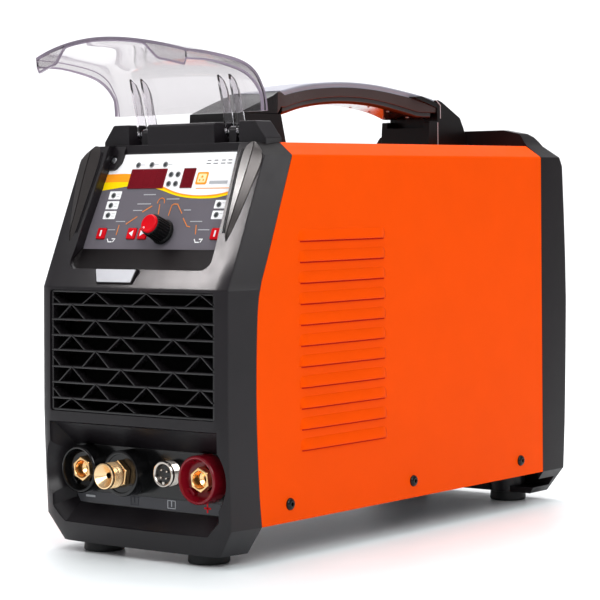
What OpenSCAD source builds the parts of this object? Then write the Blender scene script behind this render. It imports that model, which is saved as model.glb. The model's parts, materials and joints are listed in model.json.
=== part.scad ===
// TIG welding machine: steel case between two moulded end frames, a tilted control
// panel under a hinged clear lid, torch connectors at the front, fan and supply at the back.
// The machine stands on +Z up, its front looks along -Y, and the origin is on the floor
// under the middle of the whole machine.

/* [Case] */
// Width across the sides of the cover
body_w = 200; // [198:1:202]
// Distance from the origin forward to the knee line of the front frame
front_reach = 229; // [227:1:231]
// Distance from the knee line back to the rear end of the cover
cover_end = 426; // [424:1:428]
// Height of the cover's lower edge
cover_low = 29.3; // [29:0.1:30]
// Height where the cover's side folds into the shoulder
fold_z = 309.4; // [309:0.1:310]
// Height of the flat top of the cover
top_z = 319.6; // [319.5:0.1:321]
// Half width of the flat top of the cover
shoulder_x = 84.5; // [84:0.1:85]
// Thickness of the cover's steel sheet
sheet_t = 1.2; // [1:0.1:1.2]
// Height of the rubber feet
foot_h = 8.5; // [8:0.1:8.5]

/* [Front] */
// Height of the knee between the upright face and the tilted panel
knee_z = 209; // [208:0.5:210]
// Tilt of the control panel from the vertical, in degrees
tilt = 24; // [23.5:0.5:24.5]
// Depth of the control panel below the tilted face
panel_depth = 10.3; // [10:0.1:10.5]
// Rows of openings in the grille
grille_rows = 8; // [6:1:9]
// Half spacing of the two current sockets
socket_x = 61.5; // [60:0.5:63]
// Height of the connectors' axes
socket_z = 65.5; // [65:0.5:67]
// Diameter of the hole for the current plug
plug_d = 13; // [9:0.5:13]

/* [Louvers] */
// Number of louvers in each side
louvers = 11; // [8:1:11]
// Distance between louvers
louver_pitch = 16.1; // [15:0.1:17]
// Length of a louver
louver_l = 114; // [100:1:120]
// How far a louver stands out of the side
louver_out = 3; // [2:0.1:3]

/* [Lid] */
// Half width of the clear lid
lid_x = 77.5; // [76:0.5:78]
// Wall thickness of the clear lid
lid_t = 2.4; // [2:0.1:2.6]
// Height of the lid's hinge axis
hinge_z = 329; // [328.5:0.5:330]
// Radius of the hinge pins
pin_r = 2; // [1.5:0.1:2.2]

/* [Handle] */
// Half width of the handle at its ends
handle_x = 26; // [24:0.5:28]
// Half width of the handle at the grip
grip_x = 18; // [16:0.5:20]

/* [Rear] */
// Outer size of the square cooling fan
fan_w = 120; // [110:1:120]
// Number of fan blades
fan_blades = 7; // [5:1:9]

/* [Hidden] */
$fn = 64;

w = body_w / 2;
low = foot_h;                       // underside of the end frames
gap = 0.05;                         // running clearance of pins and shafts
fit = 0.3;                          // clearance of moulded parts
crown = 3;                          // bulge of the upright faces
wall = 12;                          // thickness of the end frames' faces
shoulder_a = atan2(top_z - fold_z, w - shoulder_x);
slope_in = tan((90 - shoulder_a) / 2);
slope_top = tan(shoulder_a / 2);
seam_low = 31;                      // seam between front frame and cover, at the bottom
seam_knee = 30;
seam_top = 77;
face_end = 466;                     // rear face of the rear frame
hinge_r = 71;                       // distance of the hinge axis behind the knee
louver_top = 244.3;
louver_at = 78;
lid_low = 344;                      // height of the open lid's rear edge
lid_corner = -22;                   // reach of the open lid's front corners
foot_x = 54.7;
foot_front = 22;
foot_rear = 438;
screw_z = 43.1;
screw_at = [65, 227, 389];
plate_at = 12;                      // front of the connector plate
torch_x = -14.6;
control_x = 24;
control_z = 67;
panel_low = 37.5;                   // panel edges, measured up the slope from the knee
panel_high = 117;
button_up = 48.6;
knob_x = 8.5;
knob_up = 50;
fan_z = 172;
fan_at = 414.4;                     // front of the fan
panel_at = 452.5;                   // front of the rear panel
inlet_end = 2 * front_reach + 33;   // end of the gas inlet, level with the open lid's reach

// y of a place given as a distance behind the knee line
function y(r) = r - front_reach;
// circle arc through both ends with a rise s in the middle, as n points
function bow(a, b, s, n = 10) = [for (i = [0:n]) let(t = i / n)
    [a[0] + (b[0] - a[0]) * t - s * 4 * t * (1 - t) * (b[1] - a[1]) / norm(b - a),
     a[1] + (b[1] - a[1]) * t + s * 4 * t * (1 - t) * (b[0] - a[0]) / norm(b - a)]];
function arc(c, r, a0, a1, n = 12) = [for (i = [0:n]) let(a = a0 + (a1 - a0) * i / n)
    [c[0] + r * cos(a), c[1] + r * sin(a)]];
function back(points) = [for (i = [len(points) - 1:-1:0]) points[i]];
// front view of the cover, moved inwards by t
function shell(t, z0) = [[-w + t, z0], [w - t, z0], [w - t, fold_z - t * slope_in],
    [shoulder_x - t * slope_top, top_z - t], [-shoulder_x + t * slope_top, top_z - t],
    [-w + t, fold_z - t * slope_in]];
// side view of the seam between the front frame and the cover, moved back by d
function seam(d) = concat(bow([y(seam_low + d), cover_low], [y(seam_knee + d), knee_z - 6], crown),
    [[y(seam_top + d), top_z + 1]]);

// extrudes a front view from y0 to y1
module along_y(y0, y1) {
    translate([0, y1, 0]) rotate([90, 0, 0]) linear_extrude(y1 - y0) children();
}
// extrudes a side view from x0 to x1
module along_x(x0, x1) {
    translate([x0, 0, 0]) rotate([90, 0, 90]) linear_extrude(x1 - x0) children();
}
// frame of the tilted face: x across, y into the machine, z up the slope
module at_panel() {
    translate([0, y(0), knee_z]) rotate([-tilt, 0, 0]) children();
}
module box(x0, x1, y0, y1, z0, z1) {
    translate([x0, y0, z0]) cube([x1 - x0, y1 - y0, z1 - z0]);
}
module both_sides() {
    children();
    mirror([1, 0, 0]) children();
}
module rod_y(x, z, y0, y1, r) {
    translate([x, y1, z]) rotate([90, 0, 0]) cylinder(h = y1 - y0, r = r);
}
module rod_x(x0, x1, yy, z, r) {
    translate([x0, yy, z]) rotate([0, 90, 0]) cylinder(h = x1 - x0, r = r);
}
module tube_y(x, z, y0, y1, r, bore) {
    difference() {
        rod_y(x, z, y0, y1, r);
        rod_y(x, z, y0 - 1, y1 + 1, bore);
    }
}

// ---- front frame ----
module front_outside() {
    cut = 15;
    intersection() {
        along_y(y(-8), y(90)) polygon([[-w + cut, low], [w - cut, low], [w, cover_low + 1],
            [w, fold_z], [shoulder_x, top_z], [-shoulder_x, top_z], [-w, fold_z],
            [-w, cover_low + 1]]);
        along_x(-w - 1, w + 1) polygon(concat([[y(4), low]],
            bow([y(0.5), cover_low + 1], [y(0), knee_z], crown), [[y(49), top_z + 1]],
            back(seam(0)), [[y(seam_low), low]]));
        union() {
            intersection() {
                box(-w - 1, w + 1, y(-8), y(90), 0, knee_z);
                translate([0, 0, -1]) linear_extrude(400) face_plan();
            }
            intersection() {
                box(-w - 1, w + 1, y(-8), y(90), knee_z - 0.01, 400);
                at_panel() translate([0, 0, -10]) linear_extrude(150)
                    translate([0, front_reach]) face_plan();
            }
        }
    }
}
// plan of the frame's front: bevelled corners, then sides that spread to the full width
module face_plan() {
    polygon([[-w, y(29)], [-w + 4, y(0)], [-w + 12, y(-4)], [w - 12, y(-4)], [w - 4, y(0)],
        [w, y(29)], [w, y(120)], [-w, y(120)]]);
}
module front_hollow() {
    intersection() {
        along_y(y(-9), y(120)) polygon(shell(5, low + 4));
        union() {
            box(-w, w, y(wall), y(120), low, knee_z + 2);
            at_panel() box(-w, w, panel_depth, 120, -2, 112);
        }
    }
}
module front_lip() {
    intersection() {
        difference() {
            along_y(y(10), y(100)) polygon(shell(sheet_t + fit, cover_low + 2.2));
            along_y(y(9), y(101)) polygon(shell(sheet_t + 3.2, cover_low + 4.2));
        }
        along_x(-w, w) polygon(concat(seam(-0.5), back(seam(10))));
    }
}
module bay_opening() {
    edge = 12;
    hull() {
        along_y(y(-9), y(-2)) bay_outline(86, 24.5, 102, edge);
        along_y(y(plate_at - 0.01), y(plate_at)) bay_outline(79, 38, 84, edge / 2);
    }
    along_y(y(plate_at - 1), y(wall + 1)) bay_outline(79, 38, 84, edge / 2);
    both_sides() translate([socket_x, y(wall + 1), socket_z]) rotate([90, 0, 0])
        cylinder(h = wall + 10, r1 = 19.4, r2 = 35);
}
module bay_outline(hx, z0, z1, edge) {
    polygon([[-hx + edge, z0], [hx - edge, z0], [hx, z0 + edge], [hx, z1], [-hx, z1],
        [-hx, z0 + edge]]);
}
module panel_opening() {
    at_panel() {
        along_y(-12, panel_depth + 1) polygon([[-75, panel_low], [75, panel_low],
            [70, panel_high], [-70, panel_high]]);
        along_x(-72, 72) polygon([[-1, 14], [-1, 60], [panel_depth + 0.5, 60],
            [panel_depth + 0.5, panel_low], [panel_depth, panel_low]]);
    }
}
module hump() {
    seam_front = y(seam_top - 1.2);
    difference() {
        union() {
            intersection() {
                along_y(y(61), y(82)) polygon([[-84, top_z - 6], [84, top_z - 6], [82, 327],
                    [74, 334.5], [35, 336.5], [-35, 336.5], [-74, 334.5], [-82, 327]]);
                along_x(-w, w) polygon([[y(60), top_z - 7], [seam_front, top_z - 7],
                    [seam_front, top_z + gap], [y(83), top_z + gap], [y(83), 340], [y(60), 340]]);
            }
            along_x(-35, 35) polygon([[y(58), top_z - 8], [y(58), 334.5], [y(59.5), 336],
                [y(70), 336], [y(70), top_z - 8]]);
        }
        both_sides() box(35, 57.5, y(50), y(80), 320.5, 340);
    }
    both_sides() hinge_lug();
}
module hinge_lug() {
    difference() {
        union() {
            box(42, 49.5, y(hinge_r - 4), y(hinge_r + 4), 320, hinge_z);
            rod_x(42, 49.5, y(hinge_r), hinge_z, 4);
        }
        rod_x(41, 50, y(hinge_r), hinge_z, pin_r);
    }
}
module foot_boss(x, r) {
    difference() {
        translate([x, y(r), low]) cylinder(h = cover_low - low - 0.3, r = 15.5);
        translate([x, y(r), low - 1]) cylinder(h = 17, r = 2);
    }
}
module front_frame() {
    color("#2c2a2d") {
        difference() {
            front_outside();
            front_hollow();
            bay_opening();
            panel_opening();
            box(-86, 86, y(-9), y(wall + 1), 108, 207);
            both_sides() translate([foot_x, y(foot_front), low - 1]) cylinder(h = 17, r = 2);
        }
        front_lip();
        hump();
        both_sides() difference() {
            foot_boss(foot_x, foot_front);
            box(0, w, y(-9), y(12), 0, 40);
        }
    }
}
module front_grille() {
    edge = 3;
    z0 = 108 + fit;
    z1 = 207 - fit;
    hx = 86 - fit;
    pitch = (z1 - z0 - 2 * edge) / grille_rows;
    color("#2a282b") {
        difference() {
            box(-hx, hx, y(-3), y(9), z0, z1);
            box(-hx + edge, hx - edge, y(-4), y(10), z0 + edge, z1 - edge);
        }
        for (i = [1:grille_rows - 1])
            along_x(-hx + 1, hx - 1) polygon([[y(-6), z0 + edge + i * pitch - 1.1],
                [y(-6), z0 + edge + i * pitch + 1.1], [y(8), z0 + edge + i * pitch + 2],
                [y(8), z0 + edge + i * pitch - 2]]);
        for (i = [0:grille_rows - 1], k = [-1:2])
            chevron(-29 + k * 53 + (i % 2) * 27, z0 + edge + i * pitch, pitch, hx - 2);
    }
}
// one upside-down V that braces two slats
module chevron(x, z, h, limit) {
    reach = 13;
    intersection() {
        along_y(y(-5), y(5)) polygon([[x - reach - 1.5, z], [x - reach + 1.5, z], [x, z + h - 2],
            [x + reach - 1.5, z], [x + reach + 1.5, z], [x + 1, z + h], [x - 1, z + h]]);
        box(-limit, limit, y(-6), y(6), 0, 400);
    }
}

// ---- rear frame ----
function rear_face(z0, z1, d) = bow([y(face_end - 3 + d), z0], [y(face_end - 8 + d), z1], -6);
module rear_frame() {
    cut = 15;
    color("#2c2a2d") {
        difference() {
            intersection() {
                along_y(y(cover_end), y(face_end + 9)) polygon([[-w + cut, low], [w - cut, low],
                    [w, cover_low + 1], [w, fold_z], [shoulder_x, top_z], [77, 331], [35, 335],
                    [-35, 335], [-77, 331], [-shoulder_x, top_z], [-w, fold_z],
                    [-w, cover_low + 1]]);
                along_x(-w, w) polygon(concat([[y(cover_end), low], [y(face_end - 14), low]],
                    rear_face(cover_low, fold_z, 0), [[y(face_end - 20), 326],
                    [y(face_end - 30), 335], [y(cover_end), 335]]));
                linear_extrude(400) polygon([[-w, y(cover_end)], [w, y(cover_end)],
                    [w, y(face_end - 28)], [w - 4, y(face_end - 2)], [w - 12, y(face_end + 8)],
                    [-w + 12, y(face_end + 8)], [-w + 4, y(face_end - 2)],
                    [-w, y(face_end - 28)]]);
            }
            intersection() {
                along_y(y(cover_end - 1), y(face_end - wall)) polygon(shell(5, low + 4));
                box(-w, w, y(cover_end - 1), y(face_end - wall), low, top_z - 4);
            }
            box(-82, 82, y(face_end - wall - 1), y(face_end + 10), 28, 302);
            both_sides() translate([foot_x, y(foot_rear), low - 1]) cylinder(h = 17, r = 2);
        }
        difference() {
            along_y(y(cover_end - 11), y(cover_end + 1))
                polygon(shell(sheet_t + fit, cover_low + 2.2));
            along_y(y(cover_end - 12), y(cover_end + 2))
                polygon(shell(sheet_t + 3.2, cover_low + 4.2));
        }
        difference() {
            both_sides() foot_boss(foot_x, foot_rear);
            box(-w, w, y(panel_at - 0.1), y(face_end), 17.9, cover_low + 1);
        }
    }
}
module rear_panel() {
    color("#3a3b3e") difference() {
        box(-90, 90, y(panel_at), y(panel_at + 1.5), 18, 310);
        rod_y(0, fan_z, y(panel_at - 1), y(panel_at + 3), fan_w / 2 - 4);
        for (sx = [-1, 1], sz = [-1, 1])
            rod_y(sx * 52.5, fan_z + sz * 52.5, y(panel_at - 1), y(panel_at + 3), 2.2);
        box(-63, -33, y(panel_at - 1), y(panel_at + 3), 258, 280);
        rod_y(-46, 62, y(panel_at - 1), y(panel_at + 3), 10);
        rod_y(46, 269, y(panel_at - 1), y(panel_at + 3), 6);
        rod_y(46, 62, y(panel_at - 1), y(panel_at + 3), 3.05);
    }
}

// ---- cover and base ----
module louver_shape(t) {
    rise = 9;
    intersection() {
        along_y(y(louver_at) + t, y(louver_at + louver_l) - t) polygon([[w - 2, -t],
            [w + louver_out - t, -t], [w + louver_out - t - 0.6, 2.5], [w - t * 0.8, rise - t],
            [w - 2, rise - t]]);
        linear_extrude(40, center = true) polygon([[w - 3, y(louver_at)], [w, y(louver_at)],
            [w + louver_out, y(louver_at + 4)], [w + louver_out, y(louver_at + louver_l - 4)],
            [w, y(louver_at + louver_l)], [w - 3, y(louver_at + louver_l)]]);
    }
}
module cover() {
    color("#ff4a00") difference() {
        union() {
            intersection() {
                difference() {
                    along_y(y(0), y(cover_end)) polygon(shell(0, cover_low));
                    along_y(y(-1), y(cover_end + 1)) polygon(shell(sheet_t, 0));
                }
                along_x(-w - 1, w + 1) polygon(concat(seam(0.2),
                    [[y(cover_end) - 0.2, top_z + 1], [y(cover_end) - 0.2, cover_low]]));
            }
            both_sides() for (i = [0:louvers - 1])
                translate([0, 0, louver_top - i * louver_pitch]) intersection() {
                    louver_shape(0);
                    box(w - sheet_t, w + 9, y(0), y(400), -9, 30);
                }
        }
        both_sides() {
            for (i = [0:louvers - 1]) translate([0, 0, louver_top - i * louver_pitch])
                louver_shape(1);
            for (r = screw_at) rod_x(w - 4, w + 4, y(r), screw_z, 2.6);
            for (r = [116, 140, 376, 404])
                translate([15, y(r), top_z - 5]) cylinder(h = 10, r = 2.6);
        }
    }
}
module base_pan() {
    in = w - sheet_t - 0.1;
    color("#8f9092") difference() {
        union() {
            box(-in, in, y(45), y(cover_end - 12), cover_low, cover_low + sheet_t);
            both_sides() box(in - sheet_t, in, y(45), y(cover_end - 12), cover_low, 60);
            box(-in + 6, in - 6, y(45), y(45) + sheet_t, cover_low, 50);
        }
        both_sides() for (r = screw_at) rod_x(w - 9, w + 4, y(r), screw_z, 2.45);
        for (i = [-4:4], r = [150, 190, 230, 270, 310])
            box(i * 18 - 5, i * 18 + 5, y(r), y(r + 4), cover_low - 1, cover_low + 3);
    }
}
module foot(x, r) {
    color("#1c1c1e") translate([x, y(r), 0]) rotate_extrude() polygon([[5.5, 0], [14.5, 0],
        [16.2, 1.2], [15.6, foot_h], [2.3, foot_h], [2.3, 5], [5.5, 5]]);
}
module foot_screws() {
    color("#a9abad") for (x = [-foot_x, foot_x], r = [foot_front, foot_rear])
        translate([x, y(r), 0]) {
            translate([0, 0, 2]) cylinder(h = 3, r = 4.2);
            cylinder_between(4.5, foot_h + 14, 1.95);
        }
}
module cylinder_between(z0, z1, r) {
    translate([0, 0, z0]) cylinder(h = z1 - z0, r = r);
}
module socket_head(h) {
    difference() {
        rotate_extrude() polygon(concat([[0, 0], [4.75, 0], [4.75, 0.9]],
            arc([0, -2.6], 5.4, 40, 74, 6), [[0, h]]));
        translate([0, 0, h - 1.6]) cylinder(h = 2, r = 3 / sqrt(3), $fn = 6);
    }
}
module cover_screws() {
    color("#1b1b1d") both_sides() for (r = screw_at) translate([w, y(r), screw_z])
        rotate([0, 90, 0]) {
            socket_head(2.6);
            cylinder_between(-10, 0.5, 2.4);
        }
}

// ---- connectors ----
module connector_plate() {
    color("#1f1e20") difference() {
        box(-84, 84, y(plate_at), y(plate_at + 3), 32, 92);
        both_sides() rod_y(socket_x, socket_z, y(plate_at - 1), y(plate_at + 4), 14.5);
        rod_y(torch_x, socket_z, y(plate_at - 1), y(plate_at + 4), 10.5);
        rod_y(control_x, control_z, y(plate_at - 1), y(plate_at + 4), 8.2);
    }
}
// round shell of a panel current socket, with a nut behind the plate
module socket_shell(x) {
    translate([x, y(plate_at), socket_z]) rotate([90, 0, 0]) {
        difference() {
            rotate_extrude() polygon([[9, -14], [14.4, -14], [14.4, 0], [18.8, 0], [18.8, 10.5],
                [17.6, 12], [16, 12], [14.2, 3], [9, 2]]);
            translate([0, 0, -3]) cylinder(h = 4, r = 8.9 + gap, $fn = 6);
        }
    }
    tube_y(x, socket_z, y(plate_at + 3), y(plate_at + 8), 18, 14.4);
}
// brass contact with a hexagonal head and the plug's hole
module socket_contact(x) {
    translate([x, y(plate_at), socket_z]) rotate([90, 0, 0]) difference() {
        union() {
            cylinder_between(-26, 6, 8.9);
            translate([0, 0, 2.4]) cylinder(h = 6, r = 17.5 / sqrt(3), $fn = 6);
            cylinder_between(-40, -25, 5);
        }
        cylinder_between(-16, 9, plug_d / 2);
    }
}
module torch_insulator() {
    color("#171618") translate([torch_x, y(plate_at), socket_z]) rotate([90, 0, 0])
        rotate_extrude() polygon([[8.1, -6], [10.4, -6], [10.4, 0], [18, 0], [18, 12.3],
            [16.8, 13.5], [8.1, 13.5]]);
}
// threaded brass union for the torch: hexagon, thread and cone seat
module torch_connector() {
    thread_r = 10;
    bore_r = 2.2;
    tip = 32.3;
    color("#c79a3c") translate([torch_x, y(plate_at), socket_z]) rotate([90, 0, 0])
        difference() {
            union() {
                cylinder_between(-24, 15, 8);
                translate([0, 0, 13.6]) cylinder(h = 5, r = 20 / sqrt(3), $fn = 6);
                rotate_extrude() polygon([[0, 18], [9, 18], [9, 20], [thread_r, 20],
                    [thread_r, tip - 0.8], [thread_r - 0.8, tip], [0, tip]]);
            }
            cylinder_between(-25, tip, bore_r);
            rotate_extrude() polygon([[0, 27], [bore_r, 27], [8.8, tip + 0.5], [0, tip + 0.5]]);
        }
}
module control_socket_shell() {
    color("#b9bbbd") translate([control_x, y(plate_at), control_z]) rotate([90, 0, 0]) {
        rotate_extrude() polygon([[7, -12], [8.1, -12], [8.1, 0], [10.2, 0], [10.2, 6.7],
            [9.5, 7.5], [8.7, 7.5], [7, 5.8]]);
        difference() {
            translate([0, 0, -5]) cylinder(h = 2, r = 19 / sqrt(3), $fn = 6);
            cylinder_between(-6, 0, 8.1);
        }
    }
}
module control_socket_insert() {
    color("#151517") translate([control_x, y(plate_at), control_z]) rotate([90, 0, 0])
        difference() {
            union() {
                cylinder_between(-16, 4, 6.95);
                for (a = [45:90:315]) rotate(a) translate([3.6, 0, 3]) cylinder(h = 3.5, r = 0.8);
            }
            translate([-1, -7.5, 1.5]) cube([2, 2, 4]);
        }
}

// ---- control panel ----
module panel_plate() {
    color("#6c6b70") at_panel() difference() {
        box(-84, 84, panel_depth, panel_depth + 2, 30, 110);
        box(-46, -8, panel_depth - 1, panel_depth + 3, 88, 105);
        box(9.5, 22, panel_depth - 1, panel_depth + 3, 88, 105);
        for (x = [-59.5, -27, -15.4, 59.5])
            box(x - 4.4, x + 4.4, panel_depth - 1, panel_depth + 3, button_up - 4.7,
                button_up + 4.7);
        rod_y(knob_x, knob_up, panel_depth - 1, panel_depth + 3, 4.6);
        led_places() rod_y(0, 0, panel_depth - 1, panel_depth + 3, 1.6);
    }
}
// places of the indicator lamps on the panel
module led_places() {
    for (x = [-40.6, -26.2, -11.8]) translate([x, 0, 108.5]) children();
    for (x = [-2.9, 4.3], u = [91.9, 99.8]) translate([x, 0, u]) children();
    for (u = [65.3, 73.8, 82.3]) translate([-58, 0, u]) children();
    for (u = [65.3, 73.8]) translate([55, 0, u]) children();
}
module control_board() {
    color("#1f5d33") at_panel() difference() {
        box(-74, 74, panel_depth + 11, panel_depth + 12.6, 38, 110);
        rod_y(knob_x, knob_up, panel_depth + 10, panel_depth + 14, 5.05);
    }
}
module display(x0, x1) {
    color("#5c1016") at_panel() {
        box(x0 + 0.1, x1 - 0.1, panel_depth - 0.4, panel_depth + 10.9, 88.1, 104.9);
    }
}
module indicator_leds() {
    color("#57595c") at_panel() led_places() {
        rod_y(0, 0, panel_depth + 0.3, panel_depth + 10.9, 1.5);
        rod_y(0, 0, panel_depth + 2.2, panel_depth + 3.2, 1.9);
    }
}
module button(x) {
    color("#d21328") at_panel() {
        box(x - 4.3, x + 4.3, panel_depth - 0.9, panel_depth + 3, button_up - 4.6,
            button_up + 4.6);
        rod_y(x, button_up, panel_depth + 2.9, panel_depth + 9.8, 1.7);
    }
}
module encoder_body() {
    color("#9fa1a4") at_panel() {
        difference() {
            union() {
                box(knob_x - 6.5, knob_x + 6.5, panel_depth + 4, panel_depth + 10.9,
                    knob_up - 6.5, knob_up + 6.5);
                rod_y(knob_x, knob_up, panel_depth - 3, panel_depth + 5, 4.5);
            }
            rod_y(knob_x, knob_up, panel_depth - 4, panel_depth + 9, 3 + gap);
        }
        difference() {
            translate([knob_x, panel_depth, knob_up]) rotate([90, 0, 0])
                cylinder(h = 2, r = 6.3, $fn = 6);
            rod_y(knob_x, knob_up, panel_depth - 3, panel_depth + 1, 4.5);
        }
    }
}
module encoder_shaft() {
    color("#c9cbcd") at_panel() rod_y(knob_x, knob_up, panel_depth - 15, panel_depth + 8, 3);
}
module knob() {
    grooves = 18;
    color("#0f0f11") at_panel() difference() {
        translate([knob_x, panel_depth, knob_up]) rotate([90, 0, 0]) {
            cylinder_between(3.6, 6, 10.3);
            cylinder_between(5.9, 20, 9.2);
        }
        for (a = [0:360 / grooves:359]) translate([knob_x, panel_depth, knob_up])
            rotate([90, a, 0]) translate([9.4, 0, 7]) cylinder(h = 14, r = 0.8, $fn = 16);
        rod_y(knob_x, knob_up, panel_depth - 15.2, panel_depth - 2, 3);
        rod_y(knob_x, knob_up, panel_depth - 3.3, panel_depth - 2, 7.6);
        rod_y(knob_x, knob_up, panel_depth - 21, panel_depth - 18.5, 7.4);
    }
}
module knob_cap() {
    color("#e0162b") at_panel() translate([knob_x, panel_depth - 18.5, knob_up])
        rotate([90, 0, 0]) rotate_extrude() polygon([[0, 0], [7.4, 0], [7.4, 2.2], [6.8, 3],
            [0, 3.6]]);
}
module badge() {
    color("#b4b6b9") at_panel() difference() {
        along_y(-3.6, -0.6) polygon([[-34, 2.5], [0, 2.5], [4, 13.5], [-38, 13.5]]);
        along_x(-40, 10) polygon([[-0.6, 0], [-0.6, 1.2], [-2.2, 1.2], [-2.2, 0]]);
    }
}

// ---- clear lid, standing open ----
// solid the lid is cut from, moved inwards by t
module lid_block(t) {
    intersection() {
        // plan: straight sides and a bowed front edge
        translate([0, 0, lid_low - 20]) linear_extrude(100) polygon(concat(
            [[lid_x - t, y(80)], [-lid_x + t, y(80)]],
            bow([-lid_x + t, y(lid_corner) + t], [lid_x - t, y(lid_corner) + t], -11)));
        // side view: the rear wall rounds over into the top
        along_x(-lid_x, lid_x) polygon(concat([[y(-45), lid_low - 20], [y(72) - t, lid_low - 20]],
            [for (a = [0:9:90]) [y(36) + (36 - t) * cos(a), lid_low + (38 - t) * sin(a)]],
            [[y(-45), lid_low + 59 - t]]));
        // arched top that falls a little towards the hinge
        translate([0, y(lid_corner), lid_low + 43.6 - t]) rotate([-5.5, 0, 0])
            along_y(-30, 110) polygon(concat([[-lid_x, -90]],
                bow([-lid_x, 0], [lid_x, 0], 13.5), [[lid_x, -90]]));
    }
}
module clear_lid() {
    color([0.85, 0.83, 0.87, 0.35]) {
        difference() {
            lid_block(0);
            lid_block(lid_t);
            along_x(-lid_x - 1, lid_x + 1) polygon([[y(80), lid_low - 21], [y(80), lid_low],
                [y(67), lid_low], [y(66), 352], [y(52), 367], [y(36), 373.5], [y(-14), 380.5],
                [y(-18), 376.5], [y(-40), 376.5], [y(-40), lid_low - 21]]);
            box(-41, 41, y(-40), y(-22), lid_low - 21, 391);
        }
        both_sides() {
            lid_fin(39);
            lid_fin(50.5);
        }
    }
}
// hinge ear: a thin plate from the pin up the inside of the lid
module lid_fin(x) {
    difference() {
        along_x(x, x + 2.4) polygon(concat(arc([y(hinge_r), hinge_z], 5.5, 180, 360, 12),
            [[y(hinge_r) + 0.5, 346], [y(hinge_r) - 1, 352], [y(58), 372], [y(52), 376],
            [y(50), 374], [y(60), 360]]));
        rod_x(x - 1, x + 4, y(hinge_r), hinge_z, pin_r + gap);
    }
}
module hinge_pins() {
    color("#c9cbcd") both_sides() rod_x(37.8, 54, y(hinge_r), hinge_z, pin_r);
}

// ---- handle ----
handle_mid = [y(258), -151];
handle_r = 525;
under_mid = [y(256), -54.5];
under_r = 410;
function top_arc(r, a0, a1) = arc(handle_mid, r, a0, a1, 24);
function under_arc(r, a0, a1) = arc(under_mid, r, a0, a1, 24);
module grip_plan(t) {
    linear_extrude(420) polygon(concat([[handle_x - t, y(90)]],
        bow([handle_x - t, y(150)], [handle_x - t, y(374)], handle_x - grip_x),
        back(bow([-handle_x + t, y(150)], [-handle_x + t, y(374)], grip_x - handle_x)),
        [[-handle_x + t, y(90)]]));
}
module handle_upper() {
    color("#3b3536") difference() {
        intersection() {
            grip_plan(0);
            along_x(-40, 40) polygon(concat([[y(372.5), 348.5], [y(372.5), 359]],
                top_arc(handle_r, 79, 107), [[y(99), 344.5]], [[y(150), 344.5]],
                back(under_arc(under_r + 6, 76, 104))));
        }
        strip_shape(0);
    }
}
module handle_lower() {
    color("#241f21") intersection() {
        grip_plan(1);
        along_x(-40, 40) polygon(concat(under_arc(under_r + 5.95, 75.5, 103.6),
            back(under_arc(under_r, 75.8, 103.6))));
    }
}
// shallow inlay along the top of the grip
module strip_shape(t) {
    intersection() {
        grip_plan(7 + t);
        along_x(-40, 40) polygon(concat(top_arc(handle_r + 0.4 * (t > 0 ? 0 : 1), 80, 101),
            back(top_arc(handle_r - 1.6 + t, 80, 101))));
    }
}
module handle_strip() {
    color("#b9b8bd") strip_shape(0.05);
}
module handle_front_bracket() {
    color("#242124") difference() {
        intersection() {
            along_x(-handle_x, handle_x) polygon([[y(92), top_z], [y(96), 338], [y(99), 344.4],
                [y(150), 344.4], [y(158), top_z]]);
            linear_extrude(400) polygon([[-20, y(92)], [20, y(92)], [handle_x, y(99)],
                [handle_x, y(160)], [-handle_x, y(160)], [-handle_x, y(99)]]);
        }
        both_sides() for (r = [116, 140])
            translate([15, y(r), top_z - 1]) cylinder(h = 16, r = 2.4);
    }
}
module handle_rear_bracket() {
    color("#242124") difference() {
        along_x(-handle_x, handle_x) polygon([[y(358), top_z], [y(360.4), 341], [y(373), 341],
            [y(373), 360.2], [y(408), 346], [y(413.5), 336.6], [y(421), top_z]]);
        along_x(-handle_x - 1, handle_x + 1) polygon(concat([[y(350), 335.5], [y(350), 372]],
            [[y(373), 372]], back(under_arc(under_r - 0.05, 73.4, 76))));
        both_sides() for (r = [376, 404])
            translate([15, y(r), top_z - 1]) cylinder(h = 13, r = 2.4);
    }
}
module handle_screws() {
    color("#a9abad") both_sides() for (r = [116, 140, 376, 404])
        translate([15, y(r), 0]) {
            cylinder_between(top_z - sheet_t - 3, top_z - sheet_t, 4.4);
            cylinder_between(top_z - sheet_t - 0.5, top_z + 10, 2.35);
        }
}

// ---- fan and rear fittings ----
module fan_frame() {
    color("#1a1a1c") {
        difference() {
            box(-fan_w / 2, fan_w / 2, y(fan_at), y(fan_at + 38), fan_z - fan_w / 2,
                fan_z + fan_w / 2);
            rod_y(0, fan_z, y(fan_at - 1), y(fan_at + 40), fan_w / 2 - 3);
            for (sx = [-1, 1], sz = [-1, 1])
                rod_y(sx * 52.5, fan_z + sz * 52.5, y(fan_at - 1), y(fan_at + 40), 2.2);
        }
        difference() {
            union() {
                rod_y(0, fan_z, y(fan_at), y(fan_at + 5), 20);
                for (a = [45:90:315]) translate([0, y(fan_at), fan_z]) rotate([0, a, 0])
                    translate([0, 0, -3]) cube([fan_w / 2 - 2, 4, 6]);
            }
            rod_y(0, fan_z, y(fan_at - 1), y(fan_at + 6), 2 + gap);
        }
    }
}
module fan_rotor() {
    color("#252528") {
        rod_y(0, fan_z, y(fan_at + 6), y(fan_at + 34), 21);
        rod_y(0, fan_z, y(fan_at + 0.5), y(fan_at + 7), 2);
        for (i = [0:fan_blades - 1]) translate([0, y(fan_at + 20), fan_z])
            rotate([0, i * 360 / fan_blades, 0]) translate([20, 0, 0]) rotate([38, 0, 0])
            translate([0, -1.25, -15]) cube([fan_w / 2 - 25.5, 2.5, 30]);
    }
}
module ring_y(z, yy, r, wire) {
    translate([0, yy, z]) rotate([90, 0, 0]) rotate_extrude() translate([r, 0])
        circle(wire, $fn = 16);
}
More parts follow.
